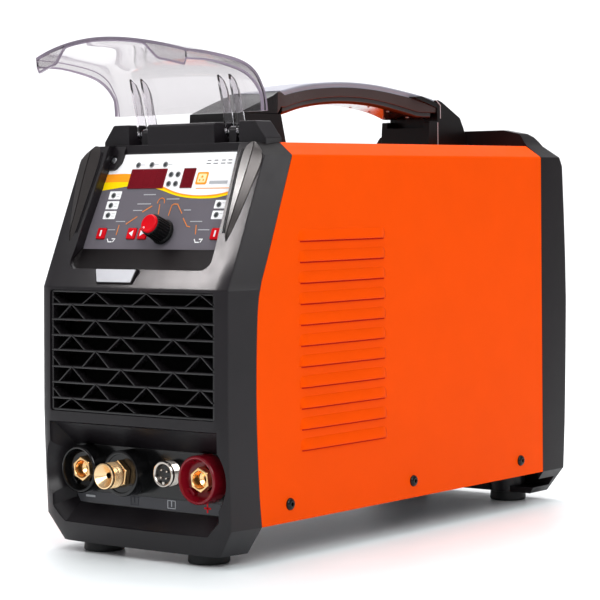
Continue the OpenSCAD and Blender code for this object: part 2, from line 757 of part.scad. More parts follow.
module fan_guard() {
    color("#b4b6b8") {
        for (i = [0:4]) ring_y(fan_z, y(panel_at + 5.1), 14 + i * 11, 1);
        for (a = [45:90:315]) translate([0, y(panel_at + 4), fan_z]) rotate([0, a, 0])
            rotate([0, 90, 0]) translate([0, 0, 8]) cylinder(h = 62, r = 1.2);
        for (sx = [-1, 1], sz = [-1, 1]) tube_y(sx * 52.5, fan_z + sz * 52.5,
            y(panel_at + 1.5), y(panel_at + 3.5), 6, 2.2);
    }
}
module fan_screws() {
    color("#1b1b1d") for (sx = [-1, 1], sz = [-1, 1]) {
        rod_y(sx * 52.5, fan_z + sz * 52.5, y(panel_at + 3.5), y(panel_at + 6), 4);
        rod_y(sx * 52.5, fan_z + sz * 52.5, y(fan_at + 2), y(panel_at + 4), 2.1);
    }
}
module switch_body() {
    color("#141416") difference() {
        union() {
            box(-62.8, -33.2, y(panel_at - 28), y(panel_at + 1.6), 258.2, 279.8);
            box(-65, -31, y(panel_at + 1.5), y(panel_at + 4), 256, 282);
        }
        box(-61, -35, y(panel_at - 9), y(panel_at + 5), 260.5, 277.5);
        rod_x(-63, -33, y(panel_at + 0.5), 269, 1.5 + gap);
    }
}
module switch_rocker() {
    color("#b3121e") translate([0, y(panel_at + 0.5), 269]) rotate([10, 0, 0]) {
        difference() {
            rod_x(-60.8, -35.2, 0, 0, 8);
            rod_x(-62, -34, 9, 0, 7.2);
            box(-62, -34, -9, -4, -9, 9);
        }
        rod_x(-62.7, -33.3, 0, 0, 1.5);
    }
}
module cable_gland() {
    color("#1a1a1c") translate([-46, y(panel_at), 62]) rotate([-90, 0, 0]) difference() {
        union() {
            cylinder_between(-9, 2, 9.9);
            cylinder_between(-6, -0.05, 13.5);
            translate([0, 0, 1.55]) cylinder(h = 7, r = 26 / sqrt(3), $fn = 6);
            rotate_extrude() polygon([[0, 8.5], [12, 8.5], [11.4, 17], [8, 22], [0, 22]]);
        }
        cylinder_between(-10, 23, 5);
    }
}
module gas_inlet() {
    tail = y(inlet_end) - y(panel_at);
    color("#c79a3c") translate([46, y(panel_at), 269]) rotate([-90, 0, 0]) difference() {
        union() {
            cylinder_between(-14, 8, 5.95);
            translate([0, 0, 1.55]) cylinder(h = 7, r = 17 / sqrt(3), $fn = 6);
            rotate_extrude() polygon(concat([[0, 8], [4.5, 8]], [for (i = [0:4])
                each [[4.2, 12 + i * 5], [4.9, 12.2 + i * 5]]], [[3.9, tail], [0, tail]]));
            translate([0, 0, -5]) cylinder(h = 4.95, r = 17 / sqrt(3), $fn = 6);
        }
        cylinder_between(-15, tail + 1, 2.6);
    }
}
module earth_stud() {
    color("#c79a3c") translate([46, y(panel_at), 62]) rotate([-90, 0, 0]) {
        cylinder_between(-10, 20, 3);
        difference() {
            union() {
                translate([0, 0, 1.5]) cylinder(h = 1.2, r = 6.5);
                translate([0, 0, 2.65]) cylinder(h = 5, r = 10 / sqrt(3), $fn = 6);
                translate([0, 0, -5]) cylinder(h = 5, r = 10 / sqrt(3), $fn = 6);
            }
            cylinder_between(-11, 21, 2.95);
        }
    }
}

// ---- inside ----
module main_board() {
    color("#1f5d33") {
        box(-84, 84, y(95), y(395), 46, 47.6);
        for (x = [-76, 76], r = [105, 245, 385])
            translate([x, y(r), 0]) cylinder_between(cover_low + sheet_t, 46.1, 3);
    }
}
module heatsink(x) {
    for (i = [0:8]) box(x - 1 + i * 5.6, x + 0.8 + i * 5.6, y(150), y(330), 74, 128);
    box(x - 1, x + 45.6, y(150), y(330), 68, 74.5);
}
module heatsinks() {
    color("#b9bcc0") {
        heatsink(-84);
        heatsink(39.4);
    }
}
module power_modules() {
    color("#18181a") for (x = [-70, 54], i = [0:3])
        box(x, x + 16, y(160 + i * 42), y(182 + i * 42), 47.6, 68);
}
module capacitors() {
    color("#23304a") for (x = [-22, 22], i = [0:1])
        translate([x, y(130 + i * 40), 0]) cylinder_between(47.6, 98, 15);
}
module transformer() {
    leg = 24;
    color("#4b4b50") difference() {
        box(-leg - 6, leg + 6, y(236), y(280), 47.6, 112);
        box(-leg + 6, leg - 6, y(235), y(281), 58, 101);
    }
    color("#c98b2b") for (x = [-leg, leg]) difference() {
        box(x - 11, x + 11, y(230), y(286), 60, 99);
        box(x - 6.05, x + 6.05, y(235.95), y(280.05), 50, 110);
    }
}
module output_choke() {
    color("#b8792a") translate([0, y(335), 78]) rotate([0, 90, 0])
        rotate_extrude() translate([20, 0]) circle(10, $fn = 32);
}
module gas_valve() {
    color("#9c7a35") {
        difference() {
            box(34, 60, y(388), y(402), 255, 281);
            rod_y(46, 269, y(387), y(403), 4);
        }
        color("#1e1e22") box(36, 58, y(382), y(398), 281, 305);
    }
}
hose_r = 4;
hose_path = [[46, 438.4, 269], [46, 426, 269], [46, 414, 269], [46, 402.1, 269]];
hose_path_front = [[46, 387.9, 269], [46, 360, 268], [40, 320, 262], [30, 270, 245],
    [18, 220, 220], [5, 170, 190], [-6, 120, 150], [-12, 80, 108], [-14.6, 55, 78],
    [-14.6, 40, 65.5], [-14.6, 36.1, 65.5]];
module hose(path) {
    sides = 10;
    n = len(path);
    rings = [for (i = [0:n - 1]) let(a = path[max(i - 1, 0)], b = path[min(i + 1, n - 1)],
        d = (b - a) / norm(b - a), u = cross([1, 0, 0], d) / norm(cross([1, 0, 0], d)),
        v = cross(d, u)) for (k = [0:sides - 1])
        path[i] + hose_r * (u * cos(k * 360 / sides) + v * sin(k * 360 / sides))
            + [0, -front_reach, 0]];
    polyhedron(rings, concat([[for (k = [0:sides - 1]) k]],
        [for (i = [0:n - 2], k = [0:sides - 1]) [i * sides + k, (i + 1) * sides + k,
            (i + 1) * sides + (k + 1) % sides, i * sides + (k + 1) % sides]],
        [[for (k = [sides - 1:-1:0]) (n - 1) * sides + k]]));
}
module gas_hose() {
    color("#2b2b30") {
        hose(hose_path);
        hose(hose_path_front);
    }
}

front_frame();
front_grille();
rear_frame();
rear_panel();
cover();
base_pan();
foot(-foot_x, foot_front);  // foot_front_left
foot(foot_x, foot_front);  // foot_front_right
foot(-foot_x, foot_rear);  // foot_rear_left
foot(foot_x, foot_rear);  // foot_rear_right
foot_screws();
cover_screws();
connector_plate();
color("#151416") socket_shell(-socket_x);  // negative_socket
color("#c79a3c") socket_contact(-socket_x);  // negative_contact
color("#8e1528") socket_shell(socket_x);  // positive_socket
color("#c79a3c") socket_contact(socket_x);  // positive_contact
torch_insulator();
torch_connector();
control_socket_shell();
control_socket_insert();
panel_plate();
control_board();
display(-46, -8);  // current_display
display(9.5, 22);  // pulse_display
indicator_leds();
button(-59.5);  // button_left
button(-27);  // button_back
button(-15.4);  // button_next
button(59.5);  // button_right
encoder_body();
encoder_shaft();
knob();
knob_cap();
clear_lid();
hinge_pins();
handle_upper();
handle_lower();
handle_strip();
handle_front_bracket();
handle_rear_bracket();
handle_screws();
badge();
fan_frame();
fan_rotor();
fan_guard();
fan_screws();
switch_body();
switch_rocker();
cable_gland();
gas_inlet();
earth_stud();
main_board();
heatsinks();
power_modules();
capacitors();
transformer();
output_choke();
gas_valve();
gas_hose();
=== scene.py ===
# Looks of the TIG welding machine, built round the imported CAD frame.
import json
import math

import bmesh
import bpy
from mathutils import Matrix, Vector

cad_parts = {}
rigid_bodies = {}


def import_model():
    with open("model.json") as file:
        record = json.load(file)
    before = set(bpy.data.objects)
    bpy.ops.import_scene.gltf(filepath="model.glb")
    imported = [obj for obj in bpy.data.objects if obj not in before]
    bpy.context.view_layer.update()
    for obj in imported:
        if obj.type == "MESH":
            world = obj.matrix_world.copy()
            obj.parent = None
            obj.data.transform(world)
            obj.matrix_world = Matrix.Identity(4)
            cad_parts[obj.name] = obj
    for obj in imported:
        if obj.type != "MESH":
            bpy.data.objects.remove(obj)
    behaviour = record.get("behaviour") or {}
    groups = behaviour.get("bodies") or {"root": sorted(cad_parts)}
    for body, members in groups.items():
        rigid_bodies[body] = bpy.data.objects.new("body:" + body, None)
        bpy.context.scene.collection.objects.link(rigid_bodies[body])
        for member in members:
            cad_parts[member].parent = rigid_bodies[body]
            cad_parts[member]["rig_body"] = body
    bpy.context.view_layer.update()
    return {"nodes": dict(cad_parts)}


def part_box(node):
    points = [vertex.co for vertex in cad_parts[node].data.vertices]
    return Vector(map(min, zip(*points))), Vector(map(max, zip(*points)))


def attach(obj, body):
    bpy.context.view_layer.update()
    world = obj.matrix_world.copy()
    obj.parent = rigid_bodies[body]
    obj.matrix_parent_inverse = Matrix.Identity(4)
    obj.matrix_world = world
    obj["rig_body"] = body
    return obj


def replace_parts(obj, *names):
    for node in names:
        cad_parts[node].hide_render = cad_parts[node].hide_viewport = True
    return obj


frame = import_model()
MM = 0.001  # plain numbers below are millimetres, except in the studio

# ------------------------------------------------------------------ places


def centre(node):
    lo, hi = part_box(node)
    return (lo + hi) / 2


FOOT_BACK = 22.0  # the front feet stand this far behind the knee line
KNEE_Y = centre("foot_front_left").y - FOOT_BACK * MM
KNEE_Z = 209.0
TILT = math.radians(24)  # of the control panel
SLOPE = math.tan(TILT)
PANEL_DEPTH = 10.3  # of the panel plate below the tilted face
PLATE_DEPTH = 15.0  # of the connector plate behind the knee line
SIDE = 100.0
COVER_LOW = 29.3
FOLD_Z = 309.4
TOP_Z = 319.6
TOP_X = 84.5
COVER_END = 426.0
FLOOR_Z = 8.5
GRILLE_LOW, GRILLE_HIGH, GRILLE_X = 111.8, 206.8, 85.2
FORWARD = (0, -1, 0)


def P(x, d, z):
    """Point from millimetres: x across, d behind the knee line, z up."""
    return Vector((x * MM, KNEE_Y + d * MM, z * MM))


PAN = Matrix.Translation(P(0, 0, KNEE_Z)) @ Matrix.Rotation(-TILT, 4, "X")


def on_panel(x, p, u):
    """Point of the tilted face: x across, p into the machine, u up the slope."""
    return PAN @ Vector((x * MM, p * MM, u * MM))


PANEL_OUT = (on_panel(0, -1, 0) - on_panel(0, 0, 0)).normalized()


def local(node):
    """Centre of a CAD node across and up the panel."""
    q = PAN.inverted() @ centre(node)
    return q.x / MM, q.z / MM


def on_plate(node):
    """Point of the connector plate in front of a CAD node."""
    c = centre(node)
    return Vector((c.x, KNEE_Y + PLATE_DEPTH * MM, c.z))


# ------------------------------------------------------------------ materials

BLOTCH, PATCH, SPECK = 38, 9, 1.1  # sizes of the colour mottle, the gloss patches and the worn specks
SPECK_COLOR = (0.35, 0.34, 0.33, 1)
GROOVE = 0.15  # depth of bumps, and their strength on turned metal
BLACK, PURE_WHITE = (0, 0, 0, 1), (1, 1, 1, 1)


def srgb(r, g, b):
    def lin(c):
        c /= 255
        return c / 12.92 if c <= 0.04045 else ((c + 0.055) / 1.055) ** 2.4
    return (lin(r), lin(g), lin(b), 1)


def material(name, color, rough=0.45, metal=0.0, grain=0.0, grain_size=0.5, mottle=0.06,
             rough_spread=0.06, transmission=0.0, ior=1.5, wave=None, spec=0.5, spots=0.0):
    """Procedural surface: colour mottle, uneven gloss, fine grain, and turned grooves if wave is set."""
    m = bpy.data.materials.new(name)
    m.use_nodes = True
    nt = m.node_tree
    b = nt.nodes["Principled BSDF"]
    coord = nt.nodes.new("ShaderNodeTexCoord")

    def noise(size, detail):
        n = nt.nodes.new("ShaderNodeTexNoise")
        n.inputs["Scale"].default_value = 1 / (size * MM)
        n.inputs["Detail"].default_value = detail
        nt.links.new(coord.outputs["Object"], n.inputs["Vector"])
        return n.outputs["Fac"]

    def ramp(source, *stops):
        r = nt.nodes.new("ShaderNodeValToRGB")
        for element, (position, tint) in zip(r.color_ramp.elements, stops):
            element.position = position
            element.color = tint
        nt.links.new(source, r.inputs["Fac"])
        return r.outputs["Color"]

    dark = [c * (1 - mottle) for c in color[:3]] + [1]
    light = [min(1, c * (1 + mottle)) for c in color[:3]] + [1]
    tint = ramp(noise(BLOTCH, 4), (0.3, dark), (0.7, light))
    if spots:
        scale = nt.nodes.new("ShaderNodeMath")
        scale.operation = "MULTIPLY"
        scale.inputs[1].default_value = spots
        nt.links.new(ramp(noise(SPECK, 2), (0.70, BLACK), (0.76, PURE_WHITE)), scale.inputs[0])
        mix = nt.nodes.new("ShaderNodeMixRGB")
        mix.inputs[2].default_value = SPECK_COLOR
        nt.links.new(scale.outputs[0], mix.inputs[0])
        nt.links.new(tint, mix.inputs[1])
        tint = mix.outputs[0]
    nt.links.new(tint, b.inputs["Base Color"])
    spread = nt.nodes.new("ShaderNodeMapRange")
    spread.inputs["To Min"].default_value = max(0.0, rough - rough_spread)
    spread.inputs["To Max"].default_value = min(1.0, rough + rough_spread)
    nt.links.new(noise(PATCH, 3), spread.inputs["Value"])
    nt.links.new(spread.outputs["Result"], b.inputs["Roughness"])
    for key, value in (("Metallic", metal), ("IOR", ior), ("Specular IOR Level", spec),
                       ("Transmission Weight", transmission)):
        b.inputs[key].default_value = value
    if wave or grain:
        if wave:
            w = nt.nodes.new("ShaderNodeTexWave")
            w.wave_type = "BANDS"
            w.bands_direction = wave[0]
            w.inputs["Scale"].default_value = 1 / (wave[1] * MM * 6)
            w.inputs["Distortion"].default_value = 1.5
            w.inputs["Detail"].default_value = 2
            nt.links.new(coord.outputs["Object"], w.inputs["Vector"])
            height = w.outputs["Fac"]
        else:
            height = noise(grain_size, 2)
        bump = nt.nodes.new("ShaderNodeBump")
        bump.inputs["Strength"].default_value = grain or GROOVE
        bump.inputs["Distance"].default_value = GROOVE * MM
        nt.links.new(height, bump.inputs["Height"])
        nt.links.new(bump.outputs["Normal"], b.inputs["Normal"])
    m.diffuse_color = color
    return m


def moulded(name, color, rough, spec):
    """The end frames' plastic."""
    return material(name, color, rough, grain=0.2, mottle=0.12, spec=spec, rough_spread=0.05)


def print_ink(name, *rgb, **look):
    """Ink or lacquer of the printed panel."""
    return material(name, srgb(*rgb), 0.4, spec=0.10, **look)


def clear(name, color):
    return material(name, color, 0.03, transmission=1.0, ior=1.45, mottle=0.01, rough_spread=0.012)


FRAME = moulded("frame_plastic", srgb(25, 22, 25), 0.33, 0.30)
# a darker, less glossy copy of the frame plastic: painted shade on the rear frame
FRAME_REAR = moulded("rear_frame_plastic", srgb(21, 16, 18), 0.36, 0.16)
# darker plastic: painted shade on the ramp below the panel and the top folds; also the badge's dark frame and
# the front frame's inner lips
FRAME_DARK = material("frame_plastic_shade", srgb(17, 14, 15), 0.5, grain=0.25, grain_size=0.6, spec=0.10)
GRILLE = material("grille_plastic", srgb(22, 20, 22), 0.22, grain=0.1, spec=0.6)
ORANGE = material("cover_paint", srgb(240, 77, 0), 0.42, grain=0.10, grain_size=0.9, mottle=0.02,
                  spec=0.03, rough_spread=0.04)
# dark red painted shade: the shadowed gap under each louver's lip, and the slits' depth seen on the liners
ORANGE_PAINTED_SHADE = material("cover_painted_shade", srgb(196, 22, 6), 0.6, grain=0.1, spec=0.05)
# near black painted shade for hollows and the inside: the cover's inner faces, bores, the baffle and the leaf
# grooves
INSIDE = material("inside_painted_shade", srgb(9, 9, 9), 0.8, grain=0.1, spec=0.1)
# lighter, half metallic grey on the leaf facets: painted sheen of the black plastic
FACET_SHEEN = material("facet_painted_sheen", srgb(62, 58, 57), 0.34, metal=0.5, grain=0.16, grain_size=0.4)
STEEL = material("zinc_steel", srgb(168, 170, 172), 0.35, metal=1, grain=0.15, grain_size=0.7)
BLACK_STEEL = material("black_steel", srgb(18, 18, 19), 0.26, metal=0.5, grain=0.1, grain_size=0.4)
BRASS = material("brass_turned", srgb(243, 208, 160), 0.24, metal=1, wave=("Y", 0.35), mottle=0.05)
BRASS_PLAIN = material("brass_plain", srgb(238, 196, 140), 0.22, metal=1, grain=0.1, mottle=0.08)
NICKEL = material("nickel_plate", srgb(196, 188, 180), 0.14, metal=1, grain=0.04, mottle=0.03)
GLOSS_BLACK = material("gloss_black", srgb(12, 12, 13), 0.18, grain=0.06, grain_size=0.9, spec=0.4)
GLOSS_RED = material("gloss_dark_red", srgb(122, 10, 26), 0.20, grain=0.05, grain_size=0.9, spec=0.45)
RED = material("signal_red", srgb(216, 6, 24), 0.34, grain=0.05, spec=0.14)
BLACK_SOFT = material("knob_black", srgb(11, 11, 12), 0.36, grain=0.15, grain_size=0.35, spec=0.22)
RUBBER = material("foot_rubber", srgb(17, 17, 18), 0.55, grain=0.3, grain_size=0.4, spots=0.12, spec=0.4)
DISPLAY = material("display_window", srgb(112, 16, 28), 0.42, mottle=0.08, grain=0.02, spec=0.08)
DIGIT = material("display_digit", srgb(107, 15, 27), 0.42, spec=0.08)
LENS = material("led_lens", srgb(58, 62, 64), 0.15, grain=0.03)
LENS_RIM = material("led_rim", srgb(120, 122, 122), 0.35)
WHITE = print_ink("panel_white", 246, 246, 247, grain=0.06, mottle=0.015)
GREY = material("panel_grey", srgb(104, 100, 107), 0.42, grain=0.06, mottle=0.02, spec=0.10)
AMBER = print_ink("panel_amber", 252, 158, 34, grain=0.06, mottle=0.03)
YELLOW = print_ink("panel_yellow", 252, 216, 10, grain=0.06, mottle=0.02)
PALE = print_ink("panel_pale", 250, 226, 170, mottle=0.02)
INK = print_ink("panel_ink", 60, 60, 66, mottle=0.02)
PULSE = print_ink("panel_pulse", 232, 140, 66, mottle=0.02)
SILVER = material("badge_silver", srgb(150, 150, 154), 0.42, metal=0.7, grain=0.10, grain_size=0.25,
                  mottle=0.03)
CLEAR = clear("clear_lid", (0.67, 0.65, 0.66, 1))
CLEAR_FIN = clear("clear_fin", (0.80, 0.77, 0.80, 1))
# purple-grey, less clear: painted shade on the lid's rim and the bands along its edges
LID_EDGE_SHADE = material("clear_lid_edge_painted_shade", srgb(156, 144, 160), 0.2, transmission=0.35, ior=1.3, mottle=0.04)
HANDLE = material("handle_body", srgb(58, 47, 45), 0.24, grain=0.06, grain_size=0.8, spec=0.45)
HANDLE_LOW = material("handle_under", srgb(30, 20, 20), 0.14, grain=0.04)
HANDLE_TOP = material("handle_top", srgb(158, 158, 170), 0.3, metal=0.45, grain=0.02, grain_size=0.8)
BRACKET = material("bracket_black", srgb(13, 12, 13), 0.3, grain=0.08, grain_size=0.7, spec=0.25)
BOARD = material("board_green", srgb(24, 84, 48), 0.4, grain=0.15, grain_size=1.5, mottle=0.2)
ALU = material("aluminium", srgb(190, 192, 196), 0.38, metal=1, wave=("X", 0.4))
COPPER = material("winding", srgb(164, 96, 44), 0.35, metal=0.6, wave=("X", 0.5), mottle=0.12)
CORE = material("ferrite", srgb(52, 52, 56), 0.6, grain=0.2)
SLEEVE = material("capacitor_sleeve", srgb(28, 44, 78), 0.3, grain=0.05)
HOSE = material("hose_rubber", srgb(34, 34, 38), 0.5, grain=0.2)
PANEL_STEEL = material("rear_panel_paint", srgb(40, 41, 43), 0.42, grain=0.25, grain_size=0.6, spots=0.05,
                       spec=0.35)
# light grey marks and print; also painted highlights along the rear bracket's seam and ridge
MARK = material("mark_light", srgb(176, 178, 182), 0.45)
LABEL = material("label_grey", srgb(58, 58, 63), 0.35, grain=0.06, spec=0.35)

# ------------------------------------------------------------------ mesh helpers


def link(name, bm, mats, body="case"):
    """Makes an object of a bmesh; a cutter has no body."""
    me = bpy.data.meshes.new(name)
    bmesh.ops.recalc_face_normals(bm, faces=bm.faces)
    bm.to_mesh(me)
    bm.free()
    o = bpy.data.objects.new(name, me)
    bpy.context.scene.collection.objects.link(o)
    for m in mats if isinstance(mats, (list, tuple)) else [mats]:
        me.materials.append(m)
    if body:
        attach(o, body)
    return o


def bake(o):
    """Applies every modifier."""
    dg = bpy.context.evaluated_depsgraph_get()
    me = bpy.data.meshes.new_from_object(o.evaluated_get(dg))
    o.modifiers.clear()
    old = o.data
    o.data = me
    bpy.data.meshes.remove(old)
    return o


def shade(o, angle=40):
    """Smooth shading with edges sharper than the angle kept."""
    bm = bmesh.new()
    bm.from_mesh(o.data)
    for f in bm.faces:
        f.smooth = True
    for e in bm.edges:
        if len(e.link_faces) == 2:
            e.smooth = e.calc_face_angle(0) < math.radians(angle)
    bm.to_mesh(o.data)
    bm.free()
    w = o.modifiers.new("weighted", "WEIGHTED_NORMAL")
    w.keep_sharp = True
    w.weight = 80
    return bake(o)


def round_edges(o, width, seg=2, angle=40):
    """Bevels the edges that are sharper than the angle."""
    m = o.modifiers.new("bevel", "BEVEL")
    m.width = width * MM
    m.segments = seg
    m.limit_method = "ANGLE"
    m.angle_limit = math.radians(angle)
    m.use_clamp_overlap = True
    return shade(bake(o))


def thicken(o, thickness):
    """Gives a sheet its thickness, on the side away from its normals."""
    m = o.modifiers.new("solid", "SOLIDIFY")
    m.thickness = thickness * MM
    m.offset = -1
    return m


def cut(o, cutting):
    m = o.modifiers.new("cut", "BOOLEAN")
    m.object = cutting
    m.operation = "DIFFERENCE"
    m.solver = "EXACT"
    bake(o)
    bpy.data.objects.remove(cutting)
    return o


def prism_bm(bm, pts, place, a, b):
    """Adds a closed prism: pts in 2-D, place(u, v, w) gives the point, w from a to b."""
    lo = [bm.verts.new(place(u, v, a)) for u, v in pts]
    hi = [bm.verts.new(place(u, v, b)) for u, v in pts]
    n = len(pts)
    for i in range(n):
        bm.faces.new((lo[i], lo[(i + 1) % n], hi[(i + 1) % n], hi[i]))
    bm.faces.new(lo[::-1])
    bm.faces.new(hi)


def along_x(u, v, w):
    return P(w, u, v)


def along_y(u, v, w):
    return P(u, w, v)


def along_z(u, v, w):
    return P(u, v, w)


def panel_prism(u, v, w):
    return on_panel(u, w, v)


def prism(name, pts, place, a, b, mats, body="case"):
    bm = bmesh.new()
    prism_bm(bm, pts, place, a, b)
    return link(name, bm, mats, body)


def cutter(pts, place, a, b):
    return prism("cutter", pts, place, a, b, INSIDE, None)


def loft_bm(bm, rings, close=True):
    """Skins rings of points; each ring has the same count."""
    rows = [[bm.verts.new(p) for p in ring] for ring in rings]
    n = len(rows[0])
    for a, b in zip(rows, rows[1:]):
        for i in range(n if close else n - 1):
            j = (i + 1) % n
            bm.faces.new((a[i], a[j], b[j], b[i]))
    if close:
        bm.faces.new(rows[0][::-1])
        bm.faces.new(rows[-1])


def loft(name, rings, mats, body="case", close=True):
    bm = bmesh.new()
    loft_bm(bm, rings, close)
    return link(name, bm, mats, body)


def circle(at, axis, radius, height, seg):
    """Ring of points round an axis; radius is a number or a function of the angle."""
    axis = Vector(axis).normalized()
    side = axis.orthogonal().normalized()
    other = axis.cross(side)
    size = radius if callable(radius) else lambda t: radius
    return [Vector(at) + axis * height * MM + (side * math.cos(t) + other * math.sin(t)) * size(t) * MM
            for t in (2 * math.pi * k / seg for k in range(seg))]


def lathe(name, profile, at, axis, mats, body="case", seg=64, closed=False):
    """Spins (radius, height) pairs round an axis through at; closed caps both ends."""
    bm = bmesh.new()
    rows = [[bm.verts.new(p) for p in circle(at, axis, r, h, seg)] for r, h in profile]
    for a, b in zip(rows, rows[1:]):
        for i in range(seg):
            j = (i + 1) % seg
            bm.faces.new((a[i], a[j], b[j], b[i]))
    if closed:
        bm.faces.new(rows[0][::-1])
        bm.faces.new(rows[-1])
    bmesh.ops.remove_doubles(bm, verts=bm.verts, dist=1e-7)
    return shade(link(name, bm, mats, body))


def rect(x0, x1, u0, u1, r=0.0):
    pts = [(x0, u0), (x1, u0), (x1, u1), (x0, u1)]
    return rounded(pts, r, 4) if r else pts


def disc(x, u, r, n=24):
    return [(x + r * math.cos(t), u + r * math.sin(t)) for t in (2 * math.pi * k / n for k in range(n))]


def rounded(points, radii, seg=5):
    """Rounds the corners of a polygon; radii is one number or one per corner."""
    out = []
    n = len(points)
    for i, p in enumerate(points):
        r = radii if isinstance(radii, (int, float)) else radii[i]
        a, b, c = Vector(points[i - 1]), Vector(p), Vector(points[(i + 1) % n])
        if r <= 0:
            out.append(tuple(b))
            continue
        ua, uc = (a - b).normalized(), (c - b).normalized()
        half = ua.angle(uc) / 2
        reach = min(r / math.tan(half), 0.49 * (a - b).length, 0.49 * (c - b).length)
        rr = reach * math.tan(half)
        mid = b + (ua + uc).normalized() * rr / math.sin(half)
        a0 = math.atan2(*(b + ua * reach - mid).yx)
        a1 = math.atan2(*(b + uc * reach - mid).yx)
        turn = math.remainder(a1 - a0, 2 * math.pi)
        for k in range(seg + 1):
            t = a0 + turn * k / seg
            out.append((mid.x + rr * math.cos(t), mid.y + rr * math.sin(t)))
    return out


def lerp_table(table, x):
    """Straight interpolation in a table of (key, value)."""
    if x <= table[0][0]:
        return table[0][1]
    for (a, va), (b, vb) in zip(table, table[1:]):
        if x <= b:
            return va + (vb - va) * (x - a) / (b - a)
    return table[-1][1]


def refine(node, mats, bevel):
    """A detailed copy of a CAD node: flat faces merged, edges rounded."""
    src = frame["nodes"][node]
    bm = bmesh.new()
    bm.from_mesh(src.data)
    bmesh.ops.remove_doubles(bm, verts=bm.verts, dist=2e-6)
    bmesh.ops.dissolve_limit(bm, angle_limit=math.radians(1.0), verts=bm.verts, edges=bm.edges)
    o = link(node + "_detail", bm, mats, src["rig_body"])
    if bevel:
        round_edges(o, bevel, angle=30)
    else:
        shade(o)
    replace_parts(o, node)


def join(name, objs):
    """Joins pieces of one body into one."""
    bm = bmesh.new()
    mats = []
    for o in objs:
        index = []
        for m in o.data.materials:
            if m not in mats:
                mats.append(m)
            index.append(mats.index(m))
        before = len(bm.faces)
        bm.from_mesh(o.data)
        bm.faces.ensure_lookup_table()
        for f in bm.faces[before:]:
            f.material_index = index[f.material_index]
    body = objs[0]["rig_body"]
    me = bpy.data.meshes.new(name)
    bm.to_mesh(me)
    bm.free()
    for o in objs:
        bpy.data.objects.remove(o)
    out = bpy.data.objects.new(name, me)
    bpy.context.scene.collection.objects.link(out)
    for m in mats:
        me.materials.append(m)
    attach(out, body)
    return out

# ------------------------------------------------------------------ case outline

# (height, depth) of the face and of the seam with the cover, (height, half width), (half width, bulge)
FACE = [(8.5, 4.0), (29, 0.4), (70, -1.3), (113, -2.0), (165, -1.0), (KNEE_Z, 0.0),
        (TOP_Z + 1, (TOP_Z + 1 - KNEE_Z) * SLOPE)]
SEAM = [(8.5, 31.2), (29, 31.2), (50, 29.0), (73, 27.7), (100, 26.8), (126, 26.5), (154.6, 27.2),
        (180, 28.4), (200.4, 30.2), (215, 34.6), (230.5, 41.4), (305.7, 71.6), (TOP_Z + 1, 77.3)]
WIDTH = [(FLOOR_Z, 85.6), (COVER_LOW, SIDE), (FOLD_Z, SIDE), (TOP_Z, TOP_X)]
BULGE = [(0, 5.0), (30, 4.7), (60, 4.1), (85, 3.3), (91, 2.2), (96, 0)]
BULGE_END = 96
SEAM_GAP = 0.25  # on each side of the seam
CORNER_DEPTH = 29  # of the front frame's plain side


def bulge_share(z):
    """The face bulges in full below the knee and hardly at all on the slope."""
    if z < KNEE_Z:
        return 1.0
    t = min(1, (z - KNEE_Z) / 30)
    return 1 - 0.85 * t * t * (3 - 2 * t)


def front_section(z):
    """Half of a level section of the front frame, from the seam round to the middle."""
    w = lerp_table(WIDTH, z)
    face = lerp_table(FACE, z)
    seam = lerp_table(SEAM, z) - SEAM_GAP
    deep = CORNER_DEPTH / math.cos(TILT) if z > KNEE_Z else CORNER_DEPTH
    corner = min(face + deep, seam - 0.8)
    pts = [(w, seam), (w, corner), (w - 4, face + 1.2), (w - 4.6, face)]
    for x in (91, 85, 75, 60, 40, 20, 8):
        x = min(x, w - 6 - (91 - x) * 0.001)
        pts.append((x, face - lerp_table(BULGE, x + (BULGE_END - (w - 4))) * bulge_share(z)))
    return pts


def front_shell():
    levels = [8.5, 12, 20, 29.3, 40, 60, 85, 100, 113, 130, 150, 170, 190, 203, 208, 209, 210, 215,
              222, 230, 240, 255, 270, 290, 309.4, 314.5, TOP_Z]
    rings = []
    for z in levels:
        half = front_section(z)
        rings.append([P(x, d, z) for x, d in half] + [P(-x, d, z) for x, d in half[::-1]])
    return loft("front_frame_shell", rings, [FRAME, FRAME_DARK])


def bay_outline(hx, z0, z1, c):
    """The connector bay across: square above, corners cut off below."""
    return [(-hx + c, z0), (hx - c, z0), (hx, z0 + c), (hx, z1), (-hx, z1), (-hx, z0 + c)]


def recess_outline(u0, hx0, hx1, corner, u1=150):
    """The panel's recess: rounded below, open at the top."""
    return rounded([(-hx0, u0), (hx0, u0), (hx1, u1), (-hx1, u1)], [corner, corner, 0, 0], 6)


def paint_shade_on_ramp_and_folds(o):
    """The ramp below the panel and the folds at the top corners get the darker plastic as painted shade."""
    to_panel = PAN.inverted()
    for f in o.data.polygons:
        q = to_panel @ f.center / MM
        ramp = 1.5 < q.y < 10.2 and 16 < q.z < 38 and abs(q.x) < 77
        fold = f.center.z > 309.6 * MM and f.normal.z > 0.35 and abs(f.center.x) > 84 * MM
        if ramp or fold:
            f.material_index = 1


